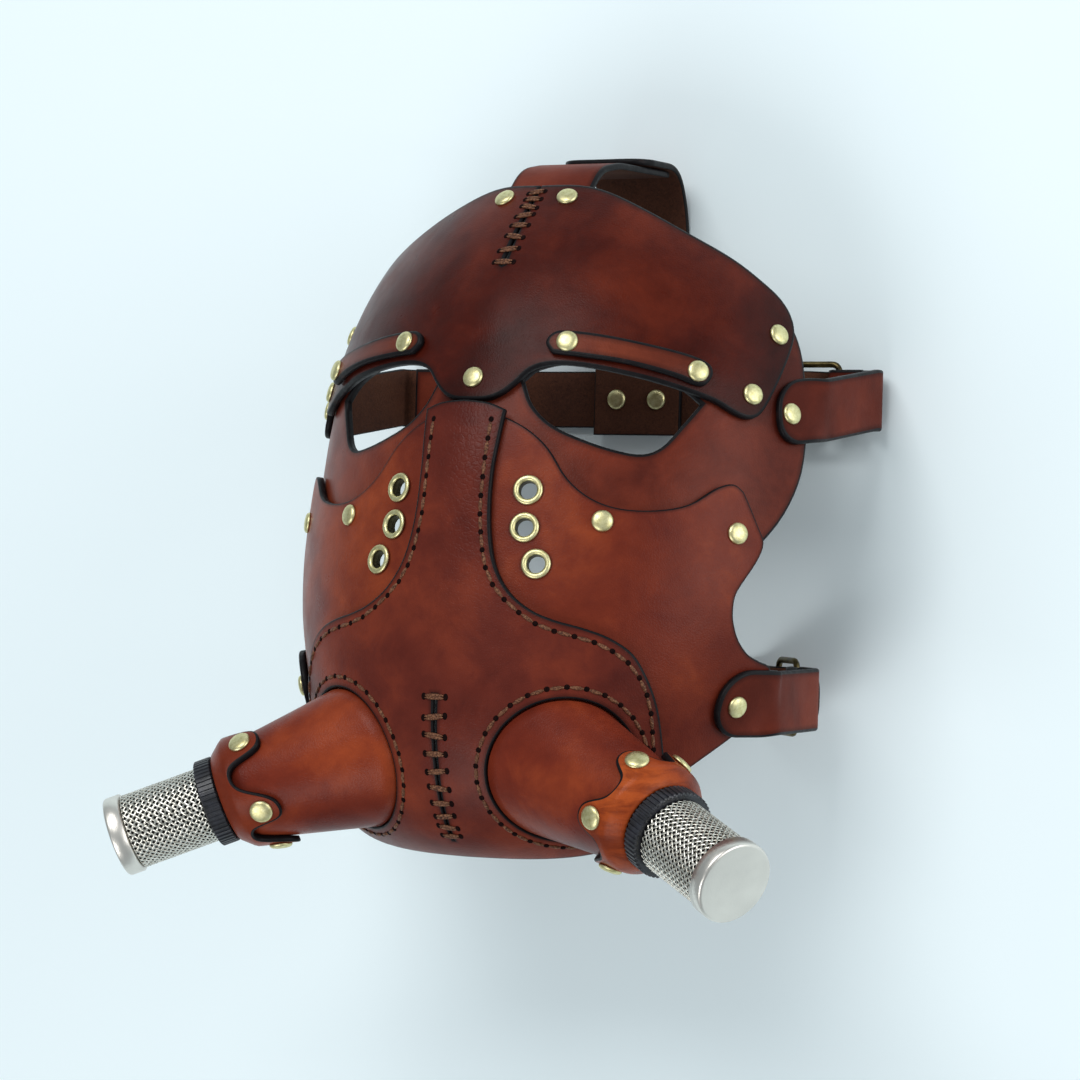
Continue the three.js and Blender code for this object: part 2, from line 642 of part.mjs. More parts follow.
function rearStrapHalf(stretch, straight, tail, meets) {
  const inner = -(FOLD_DEPTH + STRAP_LEATHER);
  const outer = STACK;
  const start = stretch(straight - tail, outer);
  const dip = stretch(straight + 3, outer);
  const inside = stretch(straight + 12, inner);
  const past = stretch(straight + 22, inner);
  return [[start.x, start.y], [dip.x, dip.y, 3], [inside.x, inside.y, 4], [past.x, past.y, 5], ...meets];
}

function wireFrame() {
  const edge = BUCKLE_LENGTH / 2 + WIRE / 2;
  const soften = 0.7;
  const rounded = (halfLong, halfWide, radius) => {
    const shape = new THREE.Path();
    shape.moveTo(halfLong - radius, -halfWide);
    shape.absarc(halfLong - radius, -halfWide + radius, radius, -Math.PI / 2, 0);
    shape.absarc(halfLong - radius, halfWide - radius, radius, 0, Math.PI / 2);
    shape.absarc(-halfLong + radius, halfWide - radius, radius, Math.PI / 2, Math.PI);
    shape.absarc(-halfLong + radius, -halfWide + radius, radius, Math.PI, 1.5 * Math.PI);
    return outlineOf([shape.getPoints(1).map((point) => [point.x, point.y])], 1);
  };
  const outer = rounded(edge - soften, BUCKLE_HALF_WIDTH - soften, 4);
  const inner = rounded(edge - WIRE + soften, BUCKLE_HALF_WIDTH - WIRE + soften, 2.6);
  const flat = new THREE.ExtrudeGeometry(shapeOf(outer, [inner]), {
    depth: WIRE - 2 * soften, bevelEnabled: true, bevelThickness: soften, bevelSize: soften, bevelSegments: 1,
  });
  return bare(flat.translate(0, 0, soften - WIRE / 2));
}

function placeBuckle(name, side, stretch, straight, middle) {
  const heel = stretch(straight - FOLD_DEPTH / 2 - 0.5, -FOLD_DEPTH / 2);
  const front = stretch(straight - FOLD_DEPTH / 2 - 0.5 + BUCKLE_LENGTH, -FOLD_DEPTH / 2);
  const mesh = add(name, 'antique_brass', wireFrame());
  const between = heel.clone().add(front).multiplyScalar(0.5);
  mesh.position.set(side * between.x, middle, between.y);
  const lean = Math.atan2(front.y - heel.y, heel.x - front.x);
  mesh.rotation.y = side * lean;
}

function rivet() {
  const r = RIVET_RADIUS;
  return turned([[0, 0], [r, 0], [r - 0.8, 1.1], [0, RIVET_HEIGHT]], 10);
}

function addRivet(name, point, normal) {
  stand(add(name, 'brass', rivet()), point.clone().addScaledVector(normal, TOUCH_GAP), normal);
}

// Upper side straps, riveted to the face panel's rear edge.
const UPPER_FRONT = { around: 108.5, up: -11, layer: SECOND_LAYER, stretch: 0.95 };
const UPPER_REAR_MIDDLE = -1.5;
const UPPER_CORNER = new THREE.Vector2(106.4, -REST_DEPTH + STRAP_LEATHER + STACK);
const upperStretch = stretchFrom(UPPER_CORNER, new THREE.Vector2(-1, 0));
const upperStart = wrap(UPPER_FRONT.around, UPPER_FRONT.up, SECOND_LAYER);
const upperLeave = wrap(124, UPPER_FRONT.up, SECOND_LAYER + 1);
const upperRoute = sideStrapRoute(upperStart, upperLeave, UPPER_CORNER, upperStretch, BUCKLE_STRAIGHT);
const UPPER_RISE_LENGTH = 72;
const upperMiddle = (s) => THREE.MathUtils.lerp(
  UPPER_FRONT.up, UPPER_REAR_MIDDLE, THREE.MathUtils.clamp(s / UPPER_RISE_LENGTH, 0, 1),
);
const upperStrap = stripGeometry({
  stations: upperRoute.stations,
  half: STRAP_HALF,
  roundStart: 10,
  across: 2,
  spacing: 12,
  place: wrappedThenFree(UPPER_FRONT, upperMiddle, sidePlace(upperRoute, upperMiddle), 13, 16),
});

// Lower side straps, riveted to the rear tabs of the cheek panels.
const LOWER_FRONT = { around: 98.7, up: -116, layer: THIRD_LAYER, stretch: 1 };
const LOWER_MIDDLE = -118.4;
const LOWER_CORNER = new THREE.Vector2(95.5, -103);
const LOWER_SLOPE = new THREE.Vector2(-0.72, -0.69).normalize();
const LOWER_STRAIGHT = 16;
const LOWER_TAIL_STRAIGHT = 9;
const lowerStretch = stretchFrom(LOWER_CORNER, LOWER_SLOPE);
const lowerStart = wrap(LOWER_FRONT.around, LOWER_FRONT.up, THIRD_LAYER);
const lowerLeave = wrap(119, LOWER_FRONT.up, THIRD_LAYER + 2.4);
const lowerRoute = sideStrapRoute(lowerStart, lowerLeave, LOWER_CORNER, lowerStretch, LOWER_STRAIGHT);
const lowerStrap = stripGeometry({
  stations: lowerRoute.stations,
  half: STRAP_HALF,
  roundStart: 11,
  across: 2,
  spacing: 12,
  place: wrappedThenFree(LOWER_FRONT, () => LOWER_FRONT.up, sidePlace(lowerRoute, () => LOWER_MIDDLE), 20, 12),
});

for (const [name, side] of SIDES) {
  add(`upper_strap_${name}`, 'strap_leather', side > 0 ? upperStrap : mirrored(upperStrap));
  add(`lower_strap_${name}`, 'strap_leather', side > 0 ? lowerStrap : mirrored(lowerStrap));
  placeBuckle(`upper_buckle_${name}`, side, upperStretch, BUCKLE_STRAIGHT, UPPER_REAR_MIDDLE);
  placeBuckle(`lower_buckle_${name}`, side, lowerStretch, LOWER_STRAIGHT, LOWER_MIDDLE);
}

// Rear straps: each goes from one buckle to the other, flat on the table in the middle.
function rearStrap(half, middle) {
  const other = half.slice().reverse().map(([x, z, round]) => [-x, z, round]);
  const route = routeOf([...half, ...other]);
  return stripGeometry({
    stations: route.stations, half: STRAP_HALF - 0.5, roundStart: 9, roundEnd: 9, across: 1,
    place: sidePlace(route, () => middle),
  });
}

const REAR_LEVEL = -REST_DEPTH + STRAP_LEATHER;
const upperHalf = rearStrapHalf(upperStretch, BUCKLE_STRAIGHT, TAIL_STRAIGHT, [[50, REAR_LEVEL, 8]]);
const lowerHalf = rearStrapHalf(lowerStretch, LOWER_STRAIGHT, LOWER_TAIL_STRAIGHT, [[55, REAR_LEVEL, 10]]);
add('upper_rear_strap', 'strap_leather', rearStrap(upperHalf, UPPER_REAR_MIDDLE));
add('lower_rear_strap', 'strap_leather', rearStrap(lowerHalf, LOWER_MIDDLE));

// Crown strap: its front piece comes from under the forehead panel, its rear piece lies on it and
// goes down behind to the upper rear strap. Their routes run in the middle plane, as [y, z, rounding].
const CROWN_FRONT = { up: 50, layer: FIRST_LAYER };
const crownStart = wrap(0, CROWN_FRONT.up, 0);
const crownLeave = wrap(0, FOREHEAD_TOP + 3, 0);
const CROWN_TOP = 86;
const CROWN_END = -122;
const crownFrontRoute = routeOf([
  [crownStart.y, crownStart.z], [crownLeave.y, crownLeave.z, 6], [CROWN_TOP, -74, 9], [CROWN_TOP + 1, CROWN_END],
]);
const REAR_PIECE_START = -97;
const crownRearRoute = routeOf([
  [CROWN_TOP + 0.6 + STACK, REAR_PIECE_START], [CROWN_TOP + 1 + STACK, CROWN_END - 6, 8],
  [CROWN_TOP - 14, REAR_LEVEL, 12], [20, REAR_LEVEL, 5], [13, REAR_LEVEL + STACK, 5], [-16, REAR_LEVEL + STACK],
]);

// Across the crown strap is +X, and its leather lies outside the route.
function crownPlace(route) {
  return (s, across, lift) => {
    const { point, tangent } = alongRoute(route, s);
    return new THREE.Vector3(across, point.x - tangent.y * lift, point.y + tangent.x * lift);
  };
}

function crownFrontPlace(s, across, lift) {
  const free = crownPlace(crownFrontRoute)(s, across, lift);
  const up = CROWN_FRONT.up + s * 0.76;
  const around = (AROUND_UNIT * across) / alongSections('half', up);
  const onForm = wrap(around, up, CROWN_FRONT.layer + lift);
  return onForm.lerp(free, THREE.MathUtils.smoothstep(s, 31, 58));
}

add('crown_strap_front', 'strap_leather', stripGeometry({
  stations: crownFrontRoute.stations, half: CROWN_HALF, across: 4, spacing: 12, place: crownFrontPlace,
}));
add('crown_strap_rear', 'strap_leather', stripGeometry({
  stations: crownRearRoute.stations, half: CROWN_HALF + 1.5, roundStart: 9, across: 2, place: crownPlace(crownRearRoute),
}));

// Rivets, named for what they hold. Each is [name, around, up, layer it sits on].
const PANEL_RIVETS = [
  ['forehead_top_rivet', 16.5, 67.5, SECOND_LAYER + LEATHER],
  ['forehead_side_rivet', 109, 18, SECOND_LAYER + LEATHER],
  ['forehead_lobe_rivet', 97.5, -4.8, SECOND_LAYER + LEATHER],
  ['brow_inner_rivet', 31.8, 11, THIRD_LAYER + STRAP_LEATHER],
  ['brow_outer_rivet', 76, 1.6, THIRD_LAYER + STRAP_LEATHER],
  ['cheek_front_rivet', 48.8, -53.2, SECOND_LAYER + LEATHER],
  ['cheek_rear_rivet', 94, -56, SECOND_LAYER + LEATHER],
  ['upper_strap_rivet', 113.5, -11, SECOND_LAYER + STRAP_LEATHER],
  ['lower_strap_rivet', 106, -116.5, THIRD_LAYER + STRAP_LEATHER],
];
addRivet('nose_rivet', wrapForehead(0, -1.8, SECOND_LAYER + LEATHER), formNormal(0, -1.8));
for (const [title, around, up, layer] of PANEL_RIVETS) {
  for (const [name, side] of SIDES) {
    const over = title.startsWith('forehead') || title.startsWith('brow') ? wrapForehead : wrap;
    addRivet(`${title}_${name}`, over(side * around, up, layer), formNormal(side * around, up));
  }
}

// Two rivets behind hold the crown strap to the upper rear strap.
const REAR_RIVET_ACROSS = 9;
for (const [name, side] of SIDES) {
  const point = new THREE.Vector3(side * REAR_RIVET_ACROSS, UPPER_REAR_MIDDLE, REAR_LEVEL + STACK + 0.1);
  addRivet(`crown_rear_rivet_${name}`, point, new THREE.Vector3(0, 0, 1));
}

// Set the mask on the table with its middle over the origin.
const extent = new THREE.Box3().setFromObject(mask, true);
const centre = extent.getCenter(new THREE.Vector3());
mask.position.set(-centre.x, -centre.y, -extent.min.z);
mask.updateMatrixWorld(true);

export default mask;
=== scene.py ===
import math

import bmesh
import bpy
from mathutils import Matrix, Vector


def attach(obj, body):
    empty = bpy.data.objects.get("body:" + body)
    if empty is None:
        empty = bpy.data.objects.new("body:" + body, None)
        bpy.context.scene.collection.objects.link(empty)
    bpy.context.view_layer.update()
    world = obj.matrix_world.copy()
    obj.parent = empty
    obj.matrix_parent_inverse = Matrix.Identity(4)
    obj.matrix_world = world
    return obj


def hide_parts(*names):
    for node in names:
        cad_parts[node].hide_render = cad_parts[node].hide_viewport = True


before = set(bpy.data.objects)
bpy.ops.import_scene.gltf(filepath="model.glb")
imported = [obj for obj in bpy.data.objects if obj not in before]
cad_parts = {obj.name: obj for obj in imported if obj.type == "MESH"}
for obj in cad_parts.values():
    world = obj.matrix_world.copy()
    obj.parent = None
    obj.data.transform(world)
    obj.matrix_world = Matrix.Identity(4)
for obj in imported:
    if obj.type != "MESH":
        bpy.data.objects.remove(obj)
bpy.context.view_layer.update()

# Face panel
# One piece of 2.8 mm vegetable-tanned leather, wet-formed over the head and dyed mahogany.
# The eye openings are cut in it; its rims are rounded and painted black, and the forehead,
# cheek and muzzle panels are riveted and sewn over it. All sizes here are in millimetres.
LEATHER = 2.8
SECOND_LAYER = 3.4
THIRD_LAYER = 6.8
ON_SECOND = SECOND_LAYER + LEATHER
ON_THIRD = THIRD_LAYER + LEATHER
# The face's own frame has its zero behind the nose rivet: this far above the table, and this far
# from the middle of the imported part.
REST_DEPTH = 140
MIDDLE_UP = 49.317

# The head form: level sections at an even step, each with its level, how far its middle stands
# forward, half its width and its depth. Going round is measured in hundredths of a radian.
TOP_SECTION, SECTION_STEP, BEYOND_TOP = 90, 45, -0.4
AROUND_UNIT = 100
SECTIONS = [
    (90, -68, 62, 100), (45, -27, 90, 101), (0, -5, 104, 107), (-45, 5, 109, 111),
    (-90, 13, 106, 109), (-135, 14.5, 93, 107), (-167, -1, 82, 102), (-174, -36, 72, 95),
]


def on_table(point):
    """A point of the face's own frame in millimetres, as a place on the table in metres."""
    return Vector((point[0], point[1] + MIDDLE_UP, point[2] + REST_DEPTH)) / 1000


def curve_between(a, b, c, d, t):
    """A place on the smooth line from b to c, where a lies before them and d after them."""
    return tuple(q + (r - p) / 2 * t + (p - 2.5 * q + 2 * r - 0.5 * s) * t ** 2
                 + (1.5 * (q - r) + 0.5 * (s - p)) * t ** 3 for p, q, r, s in zip(a, b, c, d))


def section_at(up):
    """The level section of the head form at any height."""
    last = len(SECTIONS) - 1
    along = min(max((TOP_SECTION - up) / SECTION_STEP, BEYOND_TOP), last)
    i = min(max(int(math.floor(along)), 0), last - 1)
    b, c = SECTIONS[i:i + 2]
    a = SECTIONS[i - 1] if i > 0 else [2 * p - q for p, q in zip(b, c)]
    d = SECTIONS[i + 2] if i + 2 <= last else [2 * q - p for p, q in zip(b, c)]
    return curve_between(a, b, c, d, along - i)


# Low relief on the form: height, place and width going round, level and spread going up.
NOSE_RIDGE = (3, 0, 16, -34, 26)
EYE_SOCKETS = (-3.5, 54, 26, -14, 18)
FOREHEAD_FOLD = (1.5, 0, 12, 28, 16)


def swell(around, up, height, middle, width, level, spread):
    side = (abs(around) - middle) / width
    return height * math.exp(-side * side - ((up - level) / spread) ** 2)


def form_point(around, up):
    level, reach, half, depth = section_at(up)
    angle = around / AROUND_UNIT
    relief = sum(swell(around, up, *shape) for shape in (NOSE_RIDGE, EYE_SOCKETS, FOREHEAD_FOLD))
    return Vector((half * math.sin(angle), level, reach - depth * (1 - math.cos(angle)) + relief))


def form_normal(around, up):
    across = form_point(around + 0.5, up) - form_point(around - 0.5, up)
    along = form_point(around, up + 0.5) - form_point(around, up - 0.5)
    return across.cross(along).normalized()


def wrap(around, up, lift):
    """A point above the head form: how far round, how far up, and how far off it."""
    return form_point(around, up) + form_normal(around, up) * lift


def smooth_run(points, steps=4):
    """Points along one smooth curve through the given points."""
    found = []
    for i in range(len(points) - 1):
        near = (points[max(i - 1, 0)], points[i], points[i + 1], points[min(i + 2, len(points) - 1)])
        found += [curve_between(*near, k / steps) for k in range(steps)]
    return found + [tuple(points[-1])]


# Points nearer than this are one point, and a point this near the middle line has no mirror image.
MERGE_GAP = 0.25
ON_MIDDLE = 0.2


def outline(runs):
    """A closed outline from smooth runs that meet in corners; a run of two points is straight."""
    found = []
    for run in runs:
        for point in smooth_run(run) if len(run) > 2 else run:
            if not found or math.dist(point, found[-1]) > MERGE_GAP:
                found.append(tuple(point))
    if math.dist(found[0], found[-1]) < MERGE_GAP:
        found.pop()
    return found


def both_halves(runs):
    """The closed outline of a middle panel, from the runs of its left half."""
    half = outline(runs)
    return half + [(-u, v) for u, v in reversed(half) if abs(u) > ON_MIDDLE]


def on_side(points, side):
    """An outline of the left side, or its mirror image."""
    return [(side * u, v) for u, v in points]


def oval(around, up, half_across, half_up, count):
    turns = [2 * math.pi * i / count for i in range(count)]
    return [(around + half_across * math.cos(t), up + half_up * math.sin(t)) for t in turns]


def closed_loop(shape, places):
    """New vertices joined round by edges."""
    ring = [shape.verts.new(place) for place in places]
    return ring, [shape.edges.new((a, b)) for a, b in zip(ring, ring[1:] + ring[:1])]


def shade_smooth(shape):
    for face in shape.faces:
        face.smooth = True


def align_normals(shape):
    bmesh.ops.recalc_face_normals(shape, faces=shape.faces[:])


# A turn in radians that counts as a corner, and the room a rim needs beside one.
SHARP_TURN = 0.8
CORNER_ROOM = 1.3


def clear_corners(loop, reach):
    """Leaves out the points close beside a sharp corner, where a rounded rim would fold over itself."""
    sharp = []
    for i, point in enumerate(loop):
        before, after = loop[i - 1], loop[(i + 1) % len(loop)]
        turn = (math.atan2(after[1] - point[1], after[0] - point[0])
                - math.atan2(point[1] - before[1], point[0] - before[0]))
        if abs(math.remainder(turn, 2 * math.pi)) > SHARP_TURN:
            sharp.append(point)
    return [p for p in loop if p in sharp or all(math.dist(p, corner) > reach for corner in sharp)]


def new_faces(made):
    return [g for g in made["geom"] if isinstance(g, bmesh.types.BMFace)]


def fill(sheet, rims, way):
    """Fills flat rims with faces that look up (1) or down (-1)."""
    fresh = new_faces(bmesh.ops.triangle_fill(sheet, edges=rims, use_beauty=True, normal=(0, 0, way)))
    for face in fresh:
        face.normal_update()
        if face.normal.z * way < 0:
            face.normal_flip()
    return fresh


# How the upper rim is rounded, as insets and steps up, and how the lower one is eased.
RIM_STEPS = ((0.25, 0.45), (0.45, 0.25), (0.5, 0.05))
UNDER_INSET, UNDER_DEEP = 0.5, 0.3
# Rim points nearer than this are joined, and the cuts stay this far off whole millimetres.
CROWDED = 0.2
CUT_OFFSET = 0.013


def refill(sheet, faces, way):
    """Fills the inside of a rounded rim anew, and returns its faces."""
    bmesh.ops.delete(sheet, geom=faces, context="FACES")
    bmesh.ops.remove_doubles(sheet, verts=[v for v in sheet.verts if v.is_boundary], dist=CROWDED)
    return fill(sheet, [e for e in sheet.edges if e.is_boundary], way)


def inset(sheet, faces, wide, deep):
    bmesh.ops.inset_region(sheet, faces=faces, thickness=wide, depth=deep, use_boundary=True,
                           use_even_offset=True)


def cut_leather(outer, holes=(), thick=LEATHER, band=2.2, rounding=1.0, across_step=4.0, along_step=4.0):
    """A flat panel with rounded rims, cut into small faces so that it can be formed.
    Faces are marked 0 for the grain side, 1 for the painted rim and 2 for the flesh side."""
    sheet = bmesh.new()
    rims = []
    for loop in (outer, *holes):
        loop = clear_corners(loop, CORNER_ROOM * (band + rounding * sum(wide for wide, _ in RIM_STEPS)))
        rims += closed_loop(sheet, [(u, v, UNDER_DEEP) for u, v in loop])[1]
    fill(sheet, rims, 1)
    rim = sheet.verts.layers.float.new("rim")
    inside = sheet.faces.layers.int.new("inside")
    under = sheet.faces[:]
    top = new_faces(bmesh.ops.extrude_face_region(sheet, geom=under, use_keep_orig=True))
    height = thick - UNDER_DEEP - sum(deep for _, deep in RIM_STEPS)
    bmesh.ops.translate(sheet, verts=list({v for f in top for v in f.verts}), vec=(0, 0, height))
    align_normals(sheet)
    for wide, deep in RIM_STEPS:
        inset(sheet, top, wide * rounding, deep)
    inset(sheet, under, UNDER_INSET, UNDER_DEEP)
    upper, lower = set(top), set(under)
    for face in sheet.faces:
        face.material_index = 0 if face in upper else 2 if face in lower else 1
        if face.material_index == 1:
            for vert in face.verts:
                vert[rim] = 1.0
    inset(sheet, top, band, 0)
    for vert in {v for f in top for v in f.verts}:
        vert[rim] = 0.0
    for faces, way, kind in ((top, 1, 0), (under, -1, 2)):
        for face in refill(sheet, faces, way):
            face.material_index = kind
            face[inside] = 1
    align_normals(sheet)
    for k, step, aim in ((0, across_step, Vector((1, 0, 0))), (1, along_step, Vector((0, 1, 0)))):
        places = [v.co[k] for v in sheet.verts]
        for i in range(int(min(places) // step) + 1, int(max(places) // step) + 1):
            bmesh.ops.bisect_plane(sheet, geom=sheet.verts[:] + sheet.edges[:] + sheet.faces[:],
                                   plane_co=aim * (i * step + CUT_OFFSET), plane_no=aim, dist=1e-4)
    slanting = [e for e in sheet.edges if len(e.link_faces) == 2 and all(f[inside] for f in e.link_faces)
                and min(abs(e.verts[0].co[k] - e.verts[1].co[k]) for k in range(2)) > 1e-3]
    bmesh.ops.dissolve_edges(sheet, edges=slanting, use_verts=True)
    bmesh.ops.dissolve_degenerate(sheet, dist=0.01, edges=sheet.edges[:])
    align_normals(sheet)
    shade_smooth(sheet)
    return sheet


class Value:
    """A number that changes over a surface: reckoning with values adds their Math nodes."""

    def __init__(self, finish, socket):
        self.finish = finish
        self.socket = socket

    def math(self, operation, first, second):
        return self.finish.node("Math", {0: first, 1: second}, operation=operation)

    def __add__(self, other):
        return self.math("ADD", self, other)

    def __mul__(self, other):
        return self.math("MULTIPLY", self, other)

    def __rsub__(self, other):
        return self.math("SUBTRACT", other, self)

    __radd__ = __add__
    __rmul__ = __mul__


def tint(red, green, blue):
    """A colour as it looks on the screen, 0 to 255, as the shader's linear colour."""
    return tuple(c / 255 / 12.92 if c <= 10 else ((c / 255 + 0.055) / 1.055) ** 2.4
                 for c in (red, green, blue)) + (1.0,)


class Finish:
    """One material: a Principled shader with its constants set, and the nodes that vary it."""

    def __init__(self, name, **constants):
        self.material = bpy.data.materials.new(name)
        self.material.use_nodes = True
        self.tree = self.material.node_tree
        self.shader = self.tree.nodes["Principled BSDF"]
        for key, value in constants.items():
            self.shader.inputs[key.replace("_", " ").title().replace("Ior", "IOR")].default_value = value

    def node(self, kind, inputs, output=0, **settings):
        made = self.tree.nodes.new("ShaderNode" + kind)
        for key, value in settings.items():
            if key == "stops":
                while len(made.color_ramp.elements) < len(value):
                    made.color_ramp.elements.new(0.5)
                for element, (place, shade) in zip(made.color_ramp.elements, value):
                    element.position = place
                    element.color = tint(*shade)
            else:
                setattr(made, key, value)
        for key, value in inputs.items():
            if isinstance(value, Value):
                self.tree.links.new(value.socket, made.inputs[key])
            else:
                made.inputs[key].default_value = value
        return Value(self, made.outputs[output])

    def here(self):
        return self.node("TexCoord", {}, "Object")

    def noise(self, scale, detail=2.0, rough=0.5, twist=0.0, at=None, output=0):
        return self.node("TexNoise", {"Vector": at or self.here(), "Scale": scale, "Detail": detail,
                                      "Roughness": rough, "Distortion": twist}, output)

    def cells(self, at, scale):
        """How far a point is from the nearest border of an uneven pattern of cells."""
        return self.node("TexVoronoi", {"Vector": at, "Scale": scale}, feature="DISTANCE_TO_EDGE")

    def ramp(self, factor, *stops):
        return self.node("ValToRGB", {0: factor}, stops=stops)

    def grey(self, factor, low, high):
        return self.node("MapRange", {0: factor, 1: low, 2: high})

    def blend(self, factor, under, shade):
        return self.node("Mix", {0: factor, 6: under, 7: tint(*shade)}, 2, data_type="RGBA")

    def feed(self, key, value):
        self.tree.links.new(value.socket, self.shader.inputs[key])

    def colour(self, factor, *stops):
        self.feed("Base Color", self.ramp(factor, *stops))

    def roughen(self, value):
        self.feed("Roughness", value)

    def bump(self, height, distance):
        self.feed("Normal", self.node("Bump", {"Distance": distance, "Height": height}))


BURNT_RIM = (40, 16, 13)


def dyed_leather(name, deep, middle, warm, creases=0.0, rough=0.36, shine=0.1, streaks=0.0):
    """Dyed grain leather: cloudy dye, darker rims, fine pores, and creases where it was pulled."""
    dye = Finish(name, specular_ior_level=shine, coat_weight=0.2 * shine, coat_roughness=0.2)
    cloud = dye.noise(13, 3, 0.55, 0.4) * 0.6 + dye.noise(46, 4, 0.6, 0.3) * 0.4
    colour = dye.ramp(cloud, (0.36, deep), (0.5, middle), (0.66, warm))
    pull = dye.noise(210, 5, 0.7, 0.8)
    colour = dye.blend(dye.grey(pull, 0.5, 0.85) * 0.3, colour, deep)
    if streaks:
        drawn = dye.node("Mapping", {"Vector": dye.here(), "Scale": (0.5, 2.2, 0.5)})
        colour = dye.blend(dye.grey(dye.noise(85, 4, 0.62, 1.5, drawn), 0.46, 0.66) * streaks, colour, deep)
    rim = dye.node("Attribute", {}, "Fac", attribute_name="rim")
    worn = dye.grey(rim + 0.3 * dye.noise(130, 3), 0.3, 1.25)
    dye.feed("Base Color", dye.blend(worn * 0.7, colour, BURNT_RIM))
    dye.roughen(dye.grey(dye.noise(70, 3, 0.6), 0.25, 0.75) * 0.14 + (rough - 0.1))
    bent = dye.node("VectorMath", {0: dye.noise(60, output="Color"), 1: (0.006, 0.006, 0.006),
                                   2: dye.here()}, operation="MULTIPLY_ADD")
    height = (dye.grey(dye.cells(bent, 900.0), 0.0, 0.25) * 0.14 + dye.noise(1300, 2) * 0.16
              + dye.noise(170, 4, 0.6) * 0.3)
    if creases:
        from_nose = dye.node("VectorMath", {0: dye.here(), 1: (0.004, 0.012, 0.147)}, "Value",
                             operation="DISTANCE")
        near = 1 - dye.grey(from_nose, 0.012, 0.075)
        height = height + dye.grey(dye.cells(bent, 430.0), 0.0, 0.2) * near * creases
    dye.bump(height, 0.0002)
    return dye


MAHOGANY = dyed_leather("mahogany_leather", (76, 28, 19), (106, 43, 28), (136, 60, 34))

# The cut edge: burnished and painted blue-black, with a little of the leather rubbed through.
PAINT = Finish("edge_paint", roughness=0.42, specular_ior_level=0.12)
PAINT.colour(PAINT.noise(160, 4, 0.6), (0.35, (15, 14, 16)), (0.62, (23, 21, 23)), (0.8, (44, 28, 25)))
PAINT.roughen(PAINT.grey(PAINT.noise(300, 3), 0.2, 0.8) * 0.2 + 0.34)
PAINT.bump(PAINT.noise(420, 4, 0.6), 0.00012)

# The unfinished inside: matt brown, with short fibres.
FLESH = Finish("flesh_side", roughness=0.85, specular_ior_level=0.2)
fibre = FLESH.noise(900, 5, 0.7, 1.2)
FLESH.colour(fibre * 0.6 + FLESH.noise(30, 3) * 0.4, (0.35, (58, 32, 24)), (0.65, (96, 58, 40)))
FLESH.bump(fibre, 0.0003)


def finish_piece(name, shape, finishes, slot, *nodes):
    """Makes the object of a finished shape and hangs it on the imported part."""
    mesh = bpy.data.meshes.new(name)
    shape.to_mesh(mesh)
    shape.free()
    for finish in finishes:
        mesh.materials.append(finish.material)
    piece = bpy.data.objects.new(name, mesh)
    bpy.context.scene.collection.objects.link(piece)
    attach(piece, "root")
    if nodes:
        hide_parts(*nodes)


def dress(node, suffix, shape, finishes, slot):
    """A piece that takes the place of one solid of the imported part."""
    finish_piece(f"{node}_{suffix}", shape, finishes, slot, node)


def panel(node, sheet, place, layer, grain=MAHOGANY):
    for vert in sheet.verts:
        x, y, z = vert.co
        vert.co = on_table(place(x, y, layer + z))
    dress(node, "skin", sheet, (grain, PAINT, FLESH), "leather")


SIDES = (("left", 1), ("right", -1))
face_edge = both_halves([
    [(0, 25), (60, 27), (104, 28)],
    [(104, 28), (113, 27), (119, 22.5), (122.3, 15), (123.7, 5), (124, -12), (121, -32), (114, -48),
     (105, -60), (99, -66)],
    [(99, -66), (80, -65), (60, -63), (46, -59), (36, -49), (28, -34), (18, -27), (0, -25)],
])
eye_edge = outline([
    [(17, -1), (21, -10), (28.5, -17.5), (40, -23), (51, -26.5), (59.5, -27.5), (66, -24.5),
     (72.5, -16.5), (79.5, -8)],
    [(79.5, -8), (70, -1), (52, 5), (34, 6), (22, 3.5), (17, -1)],
])
panel("face_panel", cut_leather(face_edge, [on_side(eye_edge, s) for _, s in SIDES]), wrap, 0)

# Forehead panel
# One leather piece from temple to temple, riveted over the face panel, with a tab on the nose and a
# brow edge that stands off the eyes. A dart at the top middle is pulled together with waxed thread.
DART_FOOT = 40
FOREHEAD_TOP = 73
BROW_FLARE = (2.4, 52, 26, 2, 7)


def wrap_forehead(around, up, lift):
    return wrap(around, up, lift + swell(around, up, *BROW_FLARE))


forehead_edge = both_halves([
    [(0, DART_FOOT + 0.7), (0.55, DART_FOOT + 1)],
    [(0.55, DART_FOOT + 1), (0.3, FOREHEAD_TOP)],
    [(0.3, FOREHEAD_TOP), (20, 73), (35, 70.3), (53, 63.5), (73, 54.3), (91, 45.8), (103, 38.3),
     (111.5, 31.8), (116, 25), (116.5, 17.5), (112, 7), (105.5, -5), (101, -11.5), (96.5, -13.5), (91, -12),
     (82.5, -7.5), (68.5, -3), (55, 0.3), (38, 3.4), (27, 3.8), (20, 1.6), (15.5, -3.2), (11, -7.3),
     (6, -9.6), (0, -10)],
])
FOREHEAD_LEATHER = dyed_leather("forehead_leather", (44, 13, 9), (67, 20, 12), (94, 33, 18))
panel("forehead_panel", cut_leather(forehead_edge), wrap_forehead, SECOND_LAYER, FOREHEAD_LEATHER)

# Brown waxed thread of twisted strands, and the punched hole beside a stitch, whose near-black colour is
# painted shade.
THREAD = Finish("waxed_thread", roughness=0.55, specular_ior_level=0.2)
strands = THREAD.noise(1400, 3, 0.6)
THREAD.colour(strands, (0.35, (60, 33, 22)), (0.5, (98, 61, 41)), (0.7, (142, 100, 72)))
THREAD.bump(strands, 0.0002)
HOLE_SHADE = Finish("awl_hole_shade", roughness=0.8, specular_ior_level=0.05)
HOLE_SHADE.colour(HOLE_SHADE.noise(900), (0.4, (14, 6, 6)), (0.7, (30, 12, 10)))


